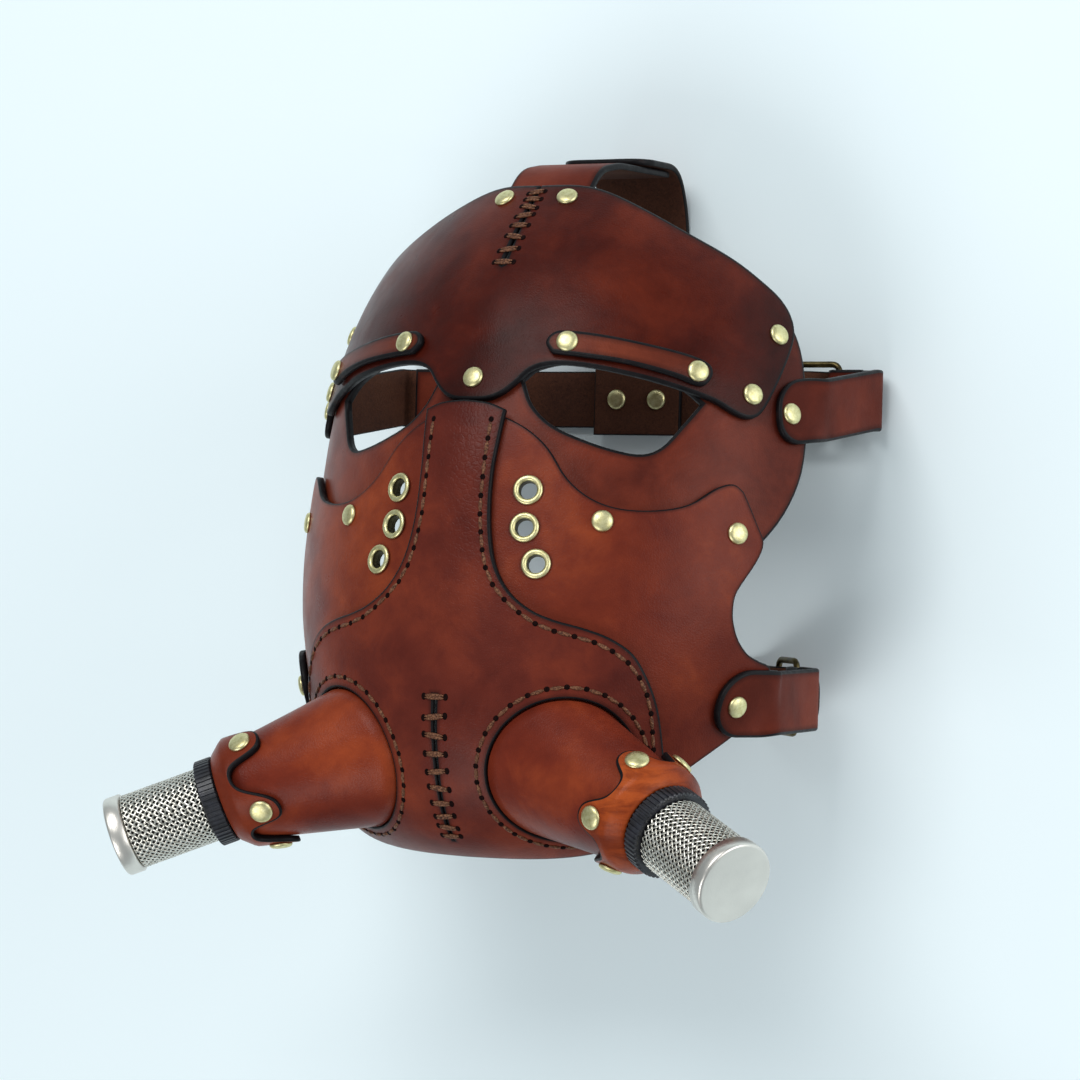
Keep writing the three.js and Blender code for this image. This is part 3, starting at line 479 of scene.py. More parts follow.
def lie_on(place, at, towards, layer):
    """A matrix that stands on the leather at one point, with X towards the other, in metres."""
    middle = on_table(place(*at, layer))
    ahead = (on_table(place(*towards, layer)) - middle).normalized()
    side = form_normal(*at).cross(ahead).normalized()
    turn = Matrix((ahead, side, ahead.cross(side))).transposed().to_4x4()
    return Matrix.Translation(middle) @ turn


STITCH_FLATNESS = 0.85
HOLE_DEPTH = 0.00028


def add_bead(shape, matrix, segments, rings, kind):
    """A bead from a unit ball that the matrix stretches and places."""
    made = bmesh.ops.create_uvsphere(shape, u_segments=segments, v_segments=rings, radius=1, matrix=matrix)
    for face in {f for v in made["verts"] for f in v.link_faces}:
        face.material_index = kind
        face.smooth = True


def add_stitch(shape, place, start, end, layer, wide):
    """One stitch: a round-ended length of thread, a little flatter than it is wide."""
    middle = ((start[0] + end[0]) / 2, (start[1] + end[1]) / 2)
    length = (on_table(place(*start, layer)) - on_table(place(*end, layer))).length
    size = Matrix.Diagonal((length / 2, wide / 1000, STITCH_FLATNESS * wide / 1000, 1))
    lying = lie_on(place, middle, end, layer) @ size @ Matrix.Rotation(math.pi / 2, 4, "Y")
    add_bead(shape, lying, 12, 8, 0)


def punch_hole(shape, at, half_long, half_wide):
    """A punched hole, as a flat bead in the leather; its near-black colour is painted shade inside the hole.
    """
    add_bead(shape, at @ Matrix.Diagonal((half_long, half_wide, HOLE_DEPTH, 1)), 10, 5, 1)


# The lacing: how far a bar's threads lie from its middle, half their width, how high they lie, how
# much the bars lean, and how far the holes lie outside the threads' ends.
LACE_SPREAD, LACE_WIDE, LACE_LIFT, LACE_LEAN, LACE_IN_HOLE = 0.45, 0.68, 0.3, 0.5, 0.5


def lacing(name, place, levels, half, layer):
    """Bars of doubled thread across a dart, each between two punched holes."""
    shape = bmesh.new()
    for i, level in enumerate(levels):
        lean = LACE_LEAN * math.sin(2.1 * i)
        end = half - LACE_IN_HOLE
        for up in (level - LACE_SPREAD, level + LACE_SPREAD):
            add_stitch(shape, place, (-end, up - lean), (end, up + lean), layer + LACE_LIFT, LACE_WIDE)
        for across, up in ((-half, level - lean), (half, level + lean)):
            punch_hole(shape, lie_on(place, (across, up), (across, up + 1), layer), 0.0014, 0.0011)
    finish_piece(name, shape, (THREAD, HOLE_SHADE), "leather")


lacing("forehead_lacing", wrap_forehead, [41.5, 46.4, 51.5, 56, 60, 63.5, 66.7, 69.6], 4.1, ON_SECOND)

# Brow strips
# Two narrow strips with round ends, cut from the same hide and held over the eyes by two rivets each.
STRAP_LEATHER = 2.6
strip_edge = outline([
    [(27, 7), (24.5, 10.5), (26, 14), (31, 15.3), (47, 13.7), (67, 9.6), (78.5, 5.8), (81.5, 2), (80, -2),
     (76.5, -3), (67, 0.2), (52, 4), (38, 5.9), (27, 7)],
])
BROW_LEATHER = dyed_leather("brow_leather", (74, 30, 20), (98, 42, 28), (122, 56, 36))
for name, side in SIDES:
    panel(f"brow_strip_{name}", cut_leather(on_side(strip_edge, side), thick=STRAP_LEATHER),
          wrap_forehead, THIRD_LAYER, BROW_LEATHER)

# Cheek panels
# A panel on each side with a wavy upper edge and three breathing holes, over the face panel and under
# the muzzle panel. Its rear tab carries the lower strap.
cheek_edge = outline([
    [(9, -15.5), (13, -15.8), (21, -20), (28.5, -27), (36, -38), (44.5, -45), (54, -48.3), (65.5, -48.5),
     (76, -46), (85, -39.6), (91, -37.8), (95, -40.5)],
    [(95, -40.5), (101, -52), (104.5, -59), (103, -66), (97.5, -77), (97.3, -84), (99, -89.5),
     (102, -94.5), (107, -99), (113, -101.5)],
    [(113, -101.5), (119, -105), (119.5, -121), (111, -128.3)],
    [(111, -128.3), (96, -141), (86, -150)],
    [(86, -150), (80, -146), (79, -136), (77.5, -127), (71, -116), (60, -108), (46, -104), (32, -101),
     (20, -94), (11, -84), (8, -72), (6.5, -58), (6.5, -32), (9, -15.5)],
])
EYELETS = ((23.7, -42.5), (24.1, -56.3), (29.5, -69.5))
CHEEK_LEATHER = dyed_leather("cheek_leather", (84, 29, 21), (108, 42, 26), (144, 64, 34))
for name, side in SIDES:
    holes = [oval(side * u, v, 4.1, 4.1, 32) for u, v in EYELETS]
    sheet = cut_leather(on_side(cheek_edge, side), holes, band=1.3, rounding=0.5)
    panel(f"cheek_panel_{name}", sheet, wrap, SECOND_LAYER, CHEEK_LEATHER)

# Muzzle panel
# The panel from the nose bridge to under the chin, sewn over the cheek panels with a running stitch.
# It has two round snout holes with sewn rims, and a laced seam at the chin.
muzzle_edge = both_halves([
    [(0, -11), (8, -11.8), (13.8, -14)],
    [(13.8, -14), (12.8, -24), (12, -35), (12.4, -48), (14, -60), (17, -71), (22.5, -80), (30, -86),
     (38, -89.3), (47.3, -91.7), (56.3, -94.8), (64.5, -99.8), (70.5, -107), (75.5, -115), (79, -123),
     (82, -133), (84, -144), (83, -155), (77, -168), (66, -178), (52, -184), (30, -188), (0, -189)],
])
HOLE_AROUND, HOLE_UP, HOLE_ACROSS, HOLE_HIGH = 47, -145, 27.5, 29
seam_edge = [(0, -116.8), (0.5, -117), (0.45, -122), (0.35, -134), (0.3, -150), (0.3, -176), (-0.3, -176),
             (-0.3, -150), (-0.35, -134), (-0.45, -122), (-0.5, -117)]
snout_holes = [oval(s * HOLE_AROUND, HOLE_UP, HOLE_ACROSS, HOLE_HIGH, 96) for _, s in SIDES]
MUZZLE_LEATHER = dyed_leather("muzzle_leather", (70, 25, 20), (94, 37, 27), (126, 53, 33), 0.34)
sheet = cut_leather(muzzle_edge, snout_holes + [seam_edge], band=1.6, rounding=0.7)
panel("muzzle_panel", sheet, wrap, THIRD_LAYER, MUZZLE_LEATHER)


class Path:
    """A line through points of a plane, measured along its length in millimetres."""

    def __init__(self, points):
        self.points = [Vector(p) for p in points]
        self.marks = [0.0]
        for a, b in zip(self.points, self.points[1:]):
            self.marks.append(self.marks[-1] + (b - a).length)
        self.length = self.marks[-1]

    def spot(self, s):
        s = min(max(s, 0), self.length)
        i = 0
        while i < len(self.points) - 2 and self.marks[i + 1] < s:
            i += 1
        share = (s - self.marks[i]) / max(self.marks[i + 1] - self.marks[i], 1e-9)
        return self.points[i].lerp(self.points[i + 1], share)

    def even_spots(self, pitch):
        """Points at an even pitch, as near the given one as the length allows."""
        count = max(1, round(self.length / pitch))
        return [self.spot(self.length * k / count) for k in range(count + 1)]


edge_stitches = smooth_run([
    (9.6, -18), (9.3, -24), (9, -32.5), (9.1, -40), (9.3, -47.4), (10, -54.3), (11.3, -61.5), (12.9, -68.8),
    (15.6, -75.6), (19.7, -81.3), (25, -86), (30.4, -90), (36.7, -92.8), (43, -94.4), (49.8, -96),
    (55.8, -98.3), (61.8, -101.6), (66.8, -106), (71.2, -112), (74.4, -118.5), (76.6, -126), (78.4, -134),
    (79.6, -144), (78.8, -153)])
# How far the stitches lie from a snout hole, their pitch on the edge and round the hole, and the
# share of the pitch that is left free at each end of a stitch.
FROM_HOLE, EDGE_PITCH, HOLE_PITCH, STITCH_GAP = 4, 6.9, 6.6, 0.13
STITCH_WIDE, STITCH_LIFT = 0.76, 0.02
for name, side in SIDES:
    stitching = bmesh.new()
    hole_run = oval(side * HOLE_AROUND, HOLE_UP, HOLE_ACROSS + FROM_HOLE, HOLE_HIGH + FROM_HOLE, 96)
    for path, pitch in ((on_side(edge_stitches, side), EDGE_PITCH), (hole_run + hole_run[:1], HOLE_PITCH)):
        spots = Path(path).even_spots(pitch)
        for (u1, v1), (u2, v2) in zip(spots, spots[1:]):
            du, dv = STITCH_GAP * (u2 - u1), STITCH_GAP * (v2 - v1)
            add_stitch(stitching, wrap, (u1 + du, v1 + dv), (u2 - du, v2 - dv), ON_THIRD + STITCH_LIFT,
                       STITCH_WIDE)
        for spot, ahead in zip(spots, spots[1:]):
            punch_hole(stitching, lie_on(wrap, spot, ahead, ON_THIRD), 0.0012, 0.00105)
    finish_piece(f"muzzle_stitching_{name}", stitching, (THREAD, HOLE_SHADE), "leather")
chin_levels = [-117.5, -124.4, -131, -137.8, -144.8, -151.6, -158, -163.8, -169, -173.5]
lacing("chin_lacing", wrap, chin_levels, 4.2, ON_THIRD)

# Snouts
# Two hollow cones of formed leather that come out of the muzzle panel's holes. Each has a flange that
# is sewn behind the hole's rim, and narrows to the round seat of its filter.
RING_CENTRE = Vector((95.5, -162.2, 22.4))
AXIS = Vector((0.842, -0.369, 0.394)).normalized()
AXIS_UP = (Vector((0, 1, 0)) - AXIS * AXIS.y).normalized()
AXIS_FRONT = AXIS.cross(AXIS_UP)
SNOUT_END, SNOUT_END_RADIUS, SNOUT_WALL = -9.6, 18.7, 2.6
HOLE_CLEARANCE = 0.6
CONE_STEPS = 12


def on_axis(angle, along, radius):
    """A point round the filter's axis: how far out along it, and how far from it."""
    return (RING_CENTRE + AXIS * along + AXIS_UP * (radius * math.cos(angle))
            + AXIS_FRONT * (radius * math.sin(angle)))


def on_rim(angle, grow, lift):
    """A point beside a snout hole: how far outside its edge, and how far off the head form."""
    return wrap(HOLE_AROUND - (HOLE_ACROSS + grow) * math.sin(angle),
                HOLE_UP + (HOLE_HIGH + grow) * math.cos(angle), lift)


def on_cone(angle, share, lift):
    """A point of a snout, from the hole (0) to the filter's seat (1)."""
    end = on_axis(angle, SNOUT_END, SNOUT_END_RADIUS + lift)
    return on_rim(angle, lift - HOLE_CLEARANCE, ON_THIRD).lerp(end, share)


def spin(shape, geom, angle, steps, climb=0, merge=False, copy=False):
    bmesh.ops.spin(shape, geom=geom, cent=(0, 0, 0), axis=(0, 0, 1), dvec=(0, 0, climb), angle=angle,
                   steps=steps, use_merge=merge, use_duplicate=copy)


def spin_round(shape, geom, count):
    """Spins an outline once round Z and closes the seam."""
    spin(shape, geom, 2 * math.pi, count, merge=True)
    bmesh.ops.remove_doubles(shape, verts=shape.verts[:], dist=1e-4)


def face_outwards(shape):
    align_normals(shape)
    if shape.calc_volume(signed=True) < 0:
        bmesh.ops.reverse_faces(shape, faces=shape.faces[:])


def ring_shape(sections, count):
    """A closed ring, section after section: its material, a function of the angle, and the rest of
    what that function takes."""
    shape = bmesh.new()
    index = shape.verts.layers.int.new("section")
    turns = [2 * math.pi * i / len(sections) for i in range(len(sections))]
    ring, edges = closed_loop(shape, [(10 + math.cos(turn), 0, math.sin(turn)) for turn in turns])
    for i, vert in enumerate(ring):
        vert[index] = i
    spin_round(shape, ring + edges, count)
    for face in shape.faces:
        found = sorted({v[index] for v in face.verts})
        first = found[0] if found[-1] - found[0] == 1 else found[-1]
        face.material_index = sections[first][0]
        face.smooth = True
    for vert in shape.verts:
        place, *numbers = sections[vert[index]][1:]
        vert.co = place(math.atan2(vert.co.y, vert.co.x), *numbers)
    return shape


def mirrored(point, side):
    return Vector((side * point.x, point.y, point.z))


def settle(shape, side):
    """Puts a shape of the left side on the table, or its mirror image for the right side."""
    for vert in shape.verts:
        vert.co = on_table(mirrored(vert.co, side))
    face_outwards(shape)


SNOUT_LEATHER = dyed_leather("snout_leather", (84, 28, 20), (112, 42, 26), (148, 64, 34), 0, 0.34)
snout_sections = [
    (1, on_rim, 3, SECOND_LAYER), (0, on_rim, 3, ON_SECOND), (0, on_rim, 0.6, ON_SECOND),
    (0, on_rim, -0.35, ON_SECOND + 0.6), (0, on_rim, -0.6, ON_SECOND + 1.8),
    *[(k // CONE_STEPS, on_cone, k / CONE_STEPS, 0) for k in range(CONE_STEPS + 1)],
    *[(2, on_cone, k / CONE_STEPS, -SNOUT_WALL) for k in range(CONE_STEPS, -1, -2)],
    (2, on_rim, -HOLE_CLEARANCE - SNOUT_WALL, SECOND_LAYER),
]
for name, side in SIDES:
    cone = ring_shape(snout_sections, 96)
    settle(cone, side)
    dress(f"snout_{name}", "skin", cone, (SNOUT_LEATHER, PAINT, FLESH), "leather")

# Snout collars
# A sleeve of lighter leather over each cone's end, drawn in to the filter's ring. Its back edge is cut
# freehand into five round lobes, each held by a brass rivet.
LOBE_ROUNDNESS = 1.3
COLLAR_RADIUS, COLLAR_GAP, COLLAR_WALL = 22.5, 0.45, 2.6
OUTER = COLLAR_GAP + COLLAR_WALL
# Degrees of the lobes from the top; how far back the tips, valleys and rivets lie; and the dye.
COLLAR_CUTS = {
    "left": ((21, 91, 160, 242, 324), 14, 3.5, 6.6, dyed_leather(
        "collar_leather_left", (96, 34, 17), (148, 62, 26), (184, 88, 39), 0, 0.33, 0.1, 0.62)),
    "right": ((34, 109, 173, 242, 311), 16.2, 1.3, 8.3, dyed_leather(
        "collar_leather_right", (92, 34, 20), (118, 46, 25), (144, 62, 32), 0, 0.34, 0.1, 0.3)),
}


def lobe_reach(cut, angle):
    """How far back the sleeve's edge reaches at an angle."""
    lobes, tip, valley = cut[:3]
    turn = (math.degrees(angle) - lobes[0]) % 360
    starts = [lobe - lobes[0] for lobe in lobes] + [360]
    following = next(i for i in range(1, 6) if starts[i] > turn)
    share = (turn - starts[following - 1]) / (starts[following] - starts[following - 1])
    wave = math.tanh(LOBE_ROUNDNESS * math.cos(2 * math.pi * share)) / math.tanh(LOBE_ROUNDNESS)
    return valley + (tip - valley) * (0.5 + 0.5 * wave)


def lobe_rim(cut, angle, inside):
    """The same edge, drawn in evenly by a few tenths of a millimetre."""
    slope = (lobe_reach(cut, angle + 0.02) - lobe_reach(cut, angle - 0.02)) / (0.04 * COLLAR_RADIUS)
    return lobe_reach(cut, angle) - inside * math.hypot(1, slope)


def on_collar(angle, back, lift):
    """A point of the sleeve: how far back from its front edge, and how far off the cone."""
    end = on_axis(angle, SNOUT_END, SNOUT_END_RADIUS + lift)
    root = on_rim(angle, lift - HOLE_CLEARANCE, ON_THIRD)
    return end + (root - end).normalized() * back


def on_sleeve(angle, cut, inside, share, lift):
    """A point of the sleeve at a share of the way back to its lobed edge."""
    return on_collar(angle, lobe_rim(cut, angle, inside) * share, lift)


def collar_sections(cut):
    """The neck beside the ring, the sleeve, its rounded edge, and back along the inside."""
    neck = ((-3.8, 15.6), (-3.82, 16.6), (-4.3, 17.4), (-6.4, 19.2), (-8.2, 20.8),
            (SNOUT_END, SNOUT_END_RADIUS + OUTER - 0.05))
    edge = ((1.1, 0), (0.6, 0.05), (0.2, 0.35), (0, 0.9))
    return [
        *[(0, on_axis, along, radius) for along, radius in neck],
        *[(0, on_sleeve, cut, 1.1, share, OUTER) for share in (0.25, 0.5, 0.75)],
        *[(1, on_sleeve, cut, inside, 1, OUTER - lower) for inside, lower in edge],
        *[(2, on_sleeve, cut, 0, share, COLLAR_GAP) for share in (1, 0.5)],
        (2, on_axis, SNOUT_END, SNOUT_END_RADIUS + COLLAR_GAP),
        (2, on_axis, -8, 17.9),
        (1, on_axis, -6.6, 15.6),
    ]


for name, side in SIDES:
    sleeve = ring_shape(collar_sections(COLLAR_CUTS[name]), 200)
    settle(sleeve, side)
    dress(f"snout_collar_{name}", "skin", sleeve, (COLLAR_CUTS[name][4], PAINT, FLESH), "tan_leather")

# Rivet brass, pale and softly scratched, and the darker brass of an eyelet's barrel.
BRASS = Finish("pale_brass", metallic=1.0, roughness=0.4)
marks = BRASS.noise(700, 4, 0.7)
BRASS.colour(marks, (0.3, (194, 184, 128)), (0.55, (220, 212, 162)), (0.8, (234, 228, 186)))
BRASS.roughen(BRASS.grey(BRASS.noise(420, 4, 0.6), 0.25, 0.8) * 0.12 + 0.36)
BRASS.bump(marks, 0.00001)
BARREL = Finish("darker_barrel", metallic=1.0, roughness=0.5, base_color=tint(74, 66, 44))


def turned(profile, count):
    """A turned shape from (radius, height) points; it stands on Z, in millimetres."""
    shape = bmesh.new()
    verts = [shape.verts.new((r, 0, z)) for r, z in profile]
    spin_round(shape, verts + [shape.edges.new((a, b)) for a, b in zip(verts, verts[1:])], count)
    face_outwards(shape)
    shade_smooth(shape)
    return shape


def stand(shape, point, out):
    """Stands a turned shape at a point of the face's frame, with its Z pointing out."""
    turn = out.to_track_quat("Z", "Y").to_matrix().to_4x4()
    move = Matrix.Translation(on_table(point)) @ turn @ Matrix.Diagonal((0.001, 0.001, 0.001, 1))
    bmesh.ops.transform(shape, matrix=move, verts=shape.verts[:])


COLLAR_CAP_LIFT, COLLAR_RIVET_THROUGH, COLLAR_RIVET_SIZE = 0.3, 4.6, 1.08
RIVET_CAP = [(0, 1.5), (1.6, 1.45), (2.9, 1.22), (3.6, 0.9), (3.95, 0.5), (4.1, 0.1), (4.05, -0.35),
             (1.7, -0.35)]


def rivet_shape(through, wide=1.0):
    """A domed cap, its shank through the leather, and the smaller cap on the inside."""
    back = [(1.7, -through), (3.4, -through), (3.5, -through - 0.4), (2.8, -through - 0.9),
            (0, -through - 1.1)]
    return turned([(r * wide, z) for r, z in RIVET_CAP] + back, 28)


def off_collar(angle, back):
    """The direction in which a collar rivet points."""
    ahead = on_collar(angle, back + 1, OUTER) - on_collar(angle, back - 1, OUTER)
    round_it = on_collar(angle + 0.03, back, OUTER) - on_collar(angle - 0.03, back, OUTER)
    return ahead.cross(round_it).normalized()


for name, side in SIDES:
    lobes, back = COLLAR_CUTS[name][0], COLLAR_CUTS[name][3]
    for k, lobe in enumerate(lobes):
        angle = math.radians(lobe)
        spot = on_collar(angle, back, OUTER + COLLAR_CAP_LIFT)
        rivet = rivet_shape(COLLAR_RIVET_THROUGH, COLLAR_RIVET_SIZE)
        stand(rivet, mirrored(spot, side), mirrored(off_collar(angle, back), side))
        finish_piece(f"collar_rivet_{name}_{k + 1}", rivet, (BRASS,), "brass")

# Filters
# Each filter is a ribbed black plastic ring, a tube of woven steel wire and a turned aluminium cap,
# pushed into the collar on one axis.
RING_RADIUS, RING_BORE, RING_HALF = 16.9, 13.8, 3.3
RIBS, RIB_DEPTH, RIB_SHARE = 54, 0.5, 0.55
TUBE_RADIUS, TUBE_START, TUBE_END = 14.9, 3.65, 34.0
CAP_RADIUS, CAP_START, CAP_END = 15.4, 34.35, 40.8
CAP_PROFILE = [
    (0, CAP_START), (CAP_RADIUS - 0.7, CAP_START), (CAP_RADIUS, CAP_START + 0.5), (CAP_RADIUS, CAP_END - 1),
    (CAP_RADIUS - 0.15, CAP_END - 0.5), (CAP_RADIUS - 0.6, CAP_END - 0.1), (CAP_RADIUS - 1.2, CAP_END),
    (6, CAP_END), (0, CAP_END)]


def on_ribs(angle, along, inside):
    """A point of the ribbed outside: a rib, then a narrower groove."""
    groove = angle * RIBS / (2 * math.pi) % 1 > RIB_SHARE
    return on_axis(angle, along, RING_RADIUS - (RIB_DEPTH if groove else 0) - inside)


plastic = Finish("black_plastic", roughness=0.4, coat_weight=0.1)
dust = plastic.noise(260, 4, 0.6)
plastic.colour(dust, (0.4, (20, 21, 26)), (0.75, (44, 45, 54)))
plastic.bump(plastic.noise(900, 3), 0.00008)
ring_sections = [
    (0, on_axis, -RING_HALF, RING_BORE), (0, on_ribs, -RING_HALF, 0.5), (0, on_ribs, 0.4 - RING_HALF, 0),
    (0, on_ribs, RING_HALF - 0.4, 0), (0, on_ribs, RING_HALF, 0.5), (0, on_axis, RING_HALF, RING_BORE),
]
for name, side in SIDES:
    ring = ring_shape(ring_sections, RIBS * 8)
    for face in ring.faces:
        face.smooth = False
    settle(ring, side)
    dress(f"filter_ring_{name}", "ribs", ring, (plastic,), "black_plastic")

# Wires each way, half a wire's width and depth, and how far it rises and falls in the weave.
WIRES, WIRE_ACROSS, WIRE_DEEP, WEAVE = 36, 0.62, 0.2, 0.11
WIRE_STEPS, SLEEVE_SIDES = 96, 48
steel = Finish("woven_steel", metallic=1.0, roughness=0.25)
shine = steel.noise(500, 3)
steel.colour(shine, (0.35, (196, 192, 180)), (0.7, (236, 233, 224)))
steel.roughen(steel.grey(shine, 0.2, 0.8) * 0.12 + 0.2)
# The inner sleeve's near-black matt colour is painted shade inside the tube, so that the mesh's holes look
# dark.
shade_lining = Finish("painted_shade_lining", roughness=0.9)
shade_lining.colour(shade_lining.noise(300, 3), (0.3, (20, 18, 16)), (0.7, (44, 40, 36)))


def woven_tube():
    """Wires wound both ways round the tube, over and under each other, on an inner sleeve of painted shade.
    """
    height = TUBE_END - TUBE_START
    middle_radius = TUBE_RADIUS - 0.75
    turn = height / middle_radius
    tube = turned([(13.1, 0), (13.4, 0), (13.4, height), (13.1, height), (13.1, 0)], SLEEVE_SIDES)
    for face in tube.faces:
        face.material_index = 1
    for way in (1, -1):
        corners = ((WIRE_DEEP, -0.7 * WIRE_ACROSS), (WIRE_DEEP, 0.7 * WIRE_ACROSS), (0, WIRE_ACROSS),
                   (-WIRE_DEEP, 0), (0, -WIRE_ACROSS))
        before = set(tube.verts)
        section, edges = closed_loop(tube, [(middle_radius + out, across, 0) for out, across in corners])
        spin(tube, section + edges, way * turn, WIRE_STEPS, height / WIRE_STEPS)
        wire = [v for v in tube.verts if v not in before]
        for vert in wire:
            crossing = vert.co.z / height * turn * WIRES / math.pi
            flat = Vector((vert.co.x, vert.co.y, 0)).normalized()
            vert.co += flat * way * WEAVE * math.cos(math.pi * crossing)
        geom = [*wire, *{e for v in wire for e in v.link_edges}, *{f for v in wire for f in v.link_faces}]
        for k in range(1, WIRES):
            spin(tube, geom, 2 * math.pi * k / WIRES, 1, copy=True)
    bmesh.ops.holes_fill(tube, edges=[e for e in tube.edges if e.is_boundary], sides=5)
    align_normals(tube)
    shade_smooth(tube)
    return tube


aluminium = Finish("turned_aluminium", metallic=1.0, roughness=0.36)
grain = aluminium.noise(1100, 4, 0.6)
aluminium.colour(aluminium.noise(60, 3), (0.3, (214, 209, 201)), (0.7, (230, 225, 216)))
aluminium.roughen(grain * 0.12 + 0.3)
aluminium.bump(grain, 0.00004)
for name, side in SIDES:
    axis, centre = mirrored(AXIS, side), mirrored(RING_CENTRE, side)
    tube = woven_tube()
    stand(tube, centre + axis * TUBE_START, axis)
    dress(f"filter_mesh_{name}", "weave", tube, (steel, shade_lining), "steel_mesh")
    cap = turned(CAP_PROFILE, 96)
    stand(cap, centre, axis)
    dress(f"filter_cap_{name}", "turned", cap, (aluminium,), "aluminium")

# Side straps and buckles
# Four straps of 24 mm leather, each riveted to its panel, led back, bent inwards behind the head and
# folded round the heel bar of a wire buckle.
STRAP_HALF, LAYER_GAP = 12, 0.6
WIRE, BUCKLE_LENGTH, BUCKLE_HALF_WIDTH, BUCKLE_CORNER = 2.6, 18.8, 15.5, 3.2
STRAIGHT_SHARE = 0.3
FOLD_BACK, FOLD_DEPTH = 13, WIRE + LAYER_GAP
STACK = STRAP_LEATHER + LAYER_GAP
REAR_LEVEL = -REST_DEPTH + STRAP_LEATHER


class Route(Path):
    """A strap's path in one plane, through corners (a, b, rounding)."""

    def __init__(self, corners):
        spots = [Vector(c[:2]) for c in corners]
        points = spots[:1]
        for i in range(1, len(corners) - 1):
            before = spots[i] + (spots[i - 1] - spots[i]).normalized() * corners[i][2]
            after = spots[i] + (spots[i + 1] - spots[i]).normalized() * corners[i][2]
            for k in range(13):
                t = k / 12
                points.append(before * (1 - t) ** 2 + spots[i] * (2 * t * (1 - t)) + after * t ** 2)
        super().__init__(points + [spots[-1]])

    def lifted(self, s, lift):
        """The place at a length along the path, lifted off it."""
        ahead = (self.spot(s + 0.6) - self.spot(s - 0.6)).normalized()
        return self.spot(s) + Vector((-ahead.y, ahead.x)) * lift


def ease(value, low, high):
    t = min(max((value - low) / (high - low), 0), 1)
    return t * t * (3 - 2 * t)


def strip(length, half, round_start=0, round_end=0):
    """The flat outline of a strap, (along, across), with rounded free ends."""
    points = []
    for end, radius, way in ((0, round_start, 1), (length, round_end, -1)):
        turns = [math.pi / 16 * k for k in range(9 if radius else 1)]
        corner = [(end + way * radius * (1 - math.cos(t)), way * (half - radius + radius * math.sin(t)))
                  for t in turns]
        points += [(x, -y) for x, y in reversed(corner)] + corner
    return points


def side_place(route, middle_at):
    """A strap that follows its route, with its middle line at the height that middle_at gives."""
    def place(s, across, lift):
        x, z = route.lifted(s, lift)
        return Vector((x, middle_at(s) + across, z))
    return place


def wrapped_then_free(around, middle_at, layer, stretch, free, wrap_length, blend_length):
    """A strap that lies on its panel for a length, and then comes free of it."""
    def place(s, across, lift):
        on_panel = wrap(around + s * stretch, middle_at(s) + across, layer + lift)
        return on_panel.lerp(free(s, across, lift), ease(s, wrap_length, wrap_length + blend_length))
    return place


def stretch_from(corner, direction):
    """Gives places behind a side strap's bend: how far along, and how far to the outside."""
    outside = Vector((-direction.y, direction.x))
    return lambda along, out: corner + direction * along + outside * out


# How softly a side strap leaves its panel.
LEAVE_ROUND = 12


def side_route(front, leave, corner, stretch, straight):
    fold, turn = stretch(straight, 0), stretch(straight, -FOLD_DEPTH)
    end = stretch(straight - FOLD_BACK, -FOLD_DEPTH)
    return Route([(front.x, front.z), (leave.x, leave.z, LEAVE_ROUND), (corner.x, corner.y, 4),
                  (*fold, FOLD_DEPTH / 2), (*turn, FOLD_DEPTH / 2), tuple(end)])


# For each strap: where its bend behind the head lies, where its front end lies on the panel, how far
# it runs straight to its fold, and its middle line's height in front and behind.
UPPER_CORNER = Vector((106.4, REAR_LEVEL + STACK))
UPPER_AROUND, UPPER_STRAIGHT = 108.5, 18.5
UPPER_FRONT, UPPER_REAR, UPPER_RISE_LENGTH = -11, -1.5, 72
upper_stretch = stretch_from(UPPER_CORNER, Vector((-1, 0)))
upper_route = side_route(
    wrap(UPPER_AROUND, UPPER_FRONT, SECOND_LAYER), wrap(124, UPPER_FRONT, SECOND_LAYER + 1), UPPER_CORNER,
    upper_stretch, UPPER_STRAIGHT)


def upper_middle(s):
    return UPPER_FRONT + (UPPER_REAR - UPPER_FRONT) * min(s / UPPER_RISE_LENGTH, 1)


upper_place = wrapped_then_free(UPPER_AROUND, upper_middle, SECOND_LAYER, 0.95,
                                side_place(upper_route, upper_middle), 13, 16)

LOWER_CORNER = Vector((95.5, -103))
LOWER_AROUND, LOWER_STRAIGHT, LOWER_TAIL = 98.7, 16, 9
LOWER_FRONT, LOWER_REAR = -116, -118.4
lower_stretch = stretch_from(LOWER_CORNER, Vector((-0.72, -0.69)).normalized())
lower_route = side_route(
    wrap(LOWER_AROUND, LOWER_FRONT, THIRD_LAYER), wrap(119, LOWER_FRONT, THIRD_LAYER + 2.4), LOWER_CORNER,
    lower_stretch, LOWER_STRAIGHT)
lower_place = wrapped_then_free(LOWER_AROUND, lambda s: LOWER_FRONT, THIRD_LAYER, 1,
                                side_place(lower_route, lambda s: LOWER_REAR), 20, 12)

STRAP_DYE = dyed_leather("strap_leather", (76, 29, 20), (97, 39, 27), (120, 54, 38), 0, 0.55, 0.05)


def strap(node, edge, place, side=1, across_step=1.8, along_step=6):
    """Cuts a strap from the leather and leads it along its route."""
    flat = cut_leather(edge, thick=STRAP_LEATHER, across_step=across_step, along_step=along_step)
    for vert in flat.verts:
        vert.co = place(*vert.co)
    settle(flat, side)
    dress(node, "skin", flat, (STRAP_DYE, PAINT, FLESH), "strap_leather")


aged = Finish("antique_brass", metallic=1.0, roughness=0.36)
tarnish = aged.noise(180, 5, 0.65)
aged.colour(tarnish, (0.35, (60, 52, 36)), (0.6, (104, 92, 58)), (0.8, (140, 124, 78)))
aged.roughen(tarnish * 0.25 + 0.25)


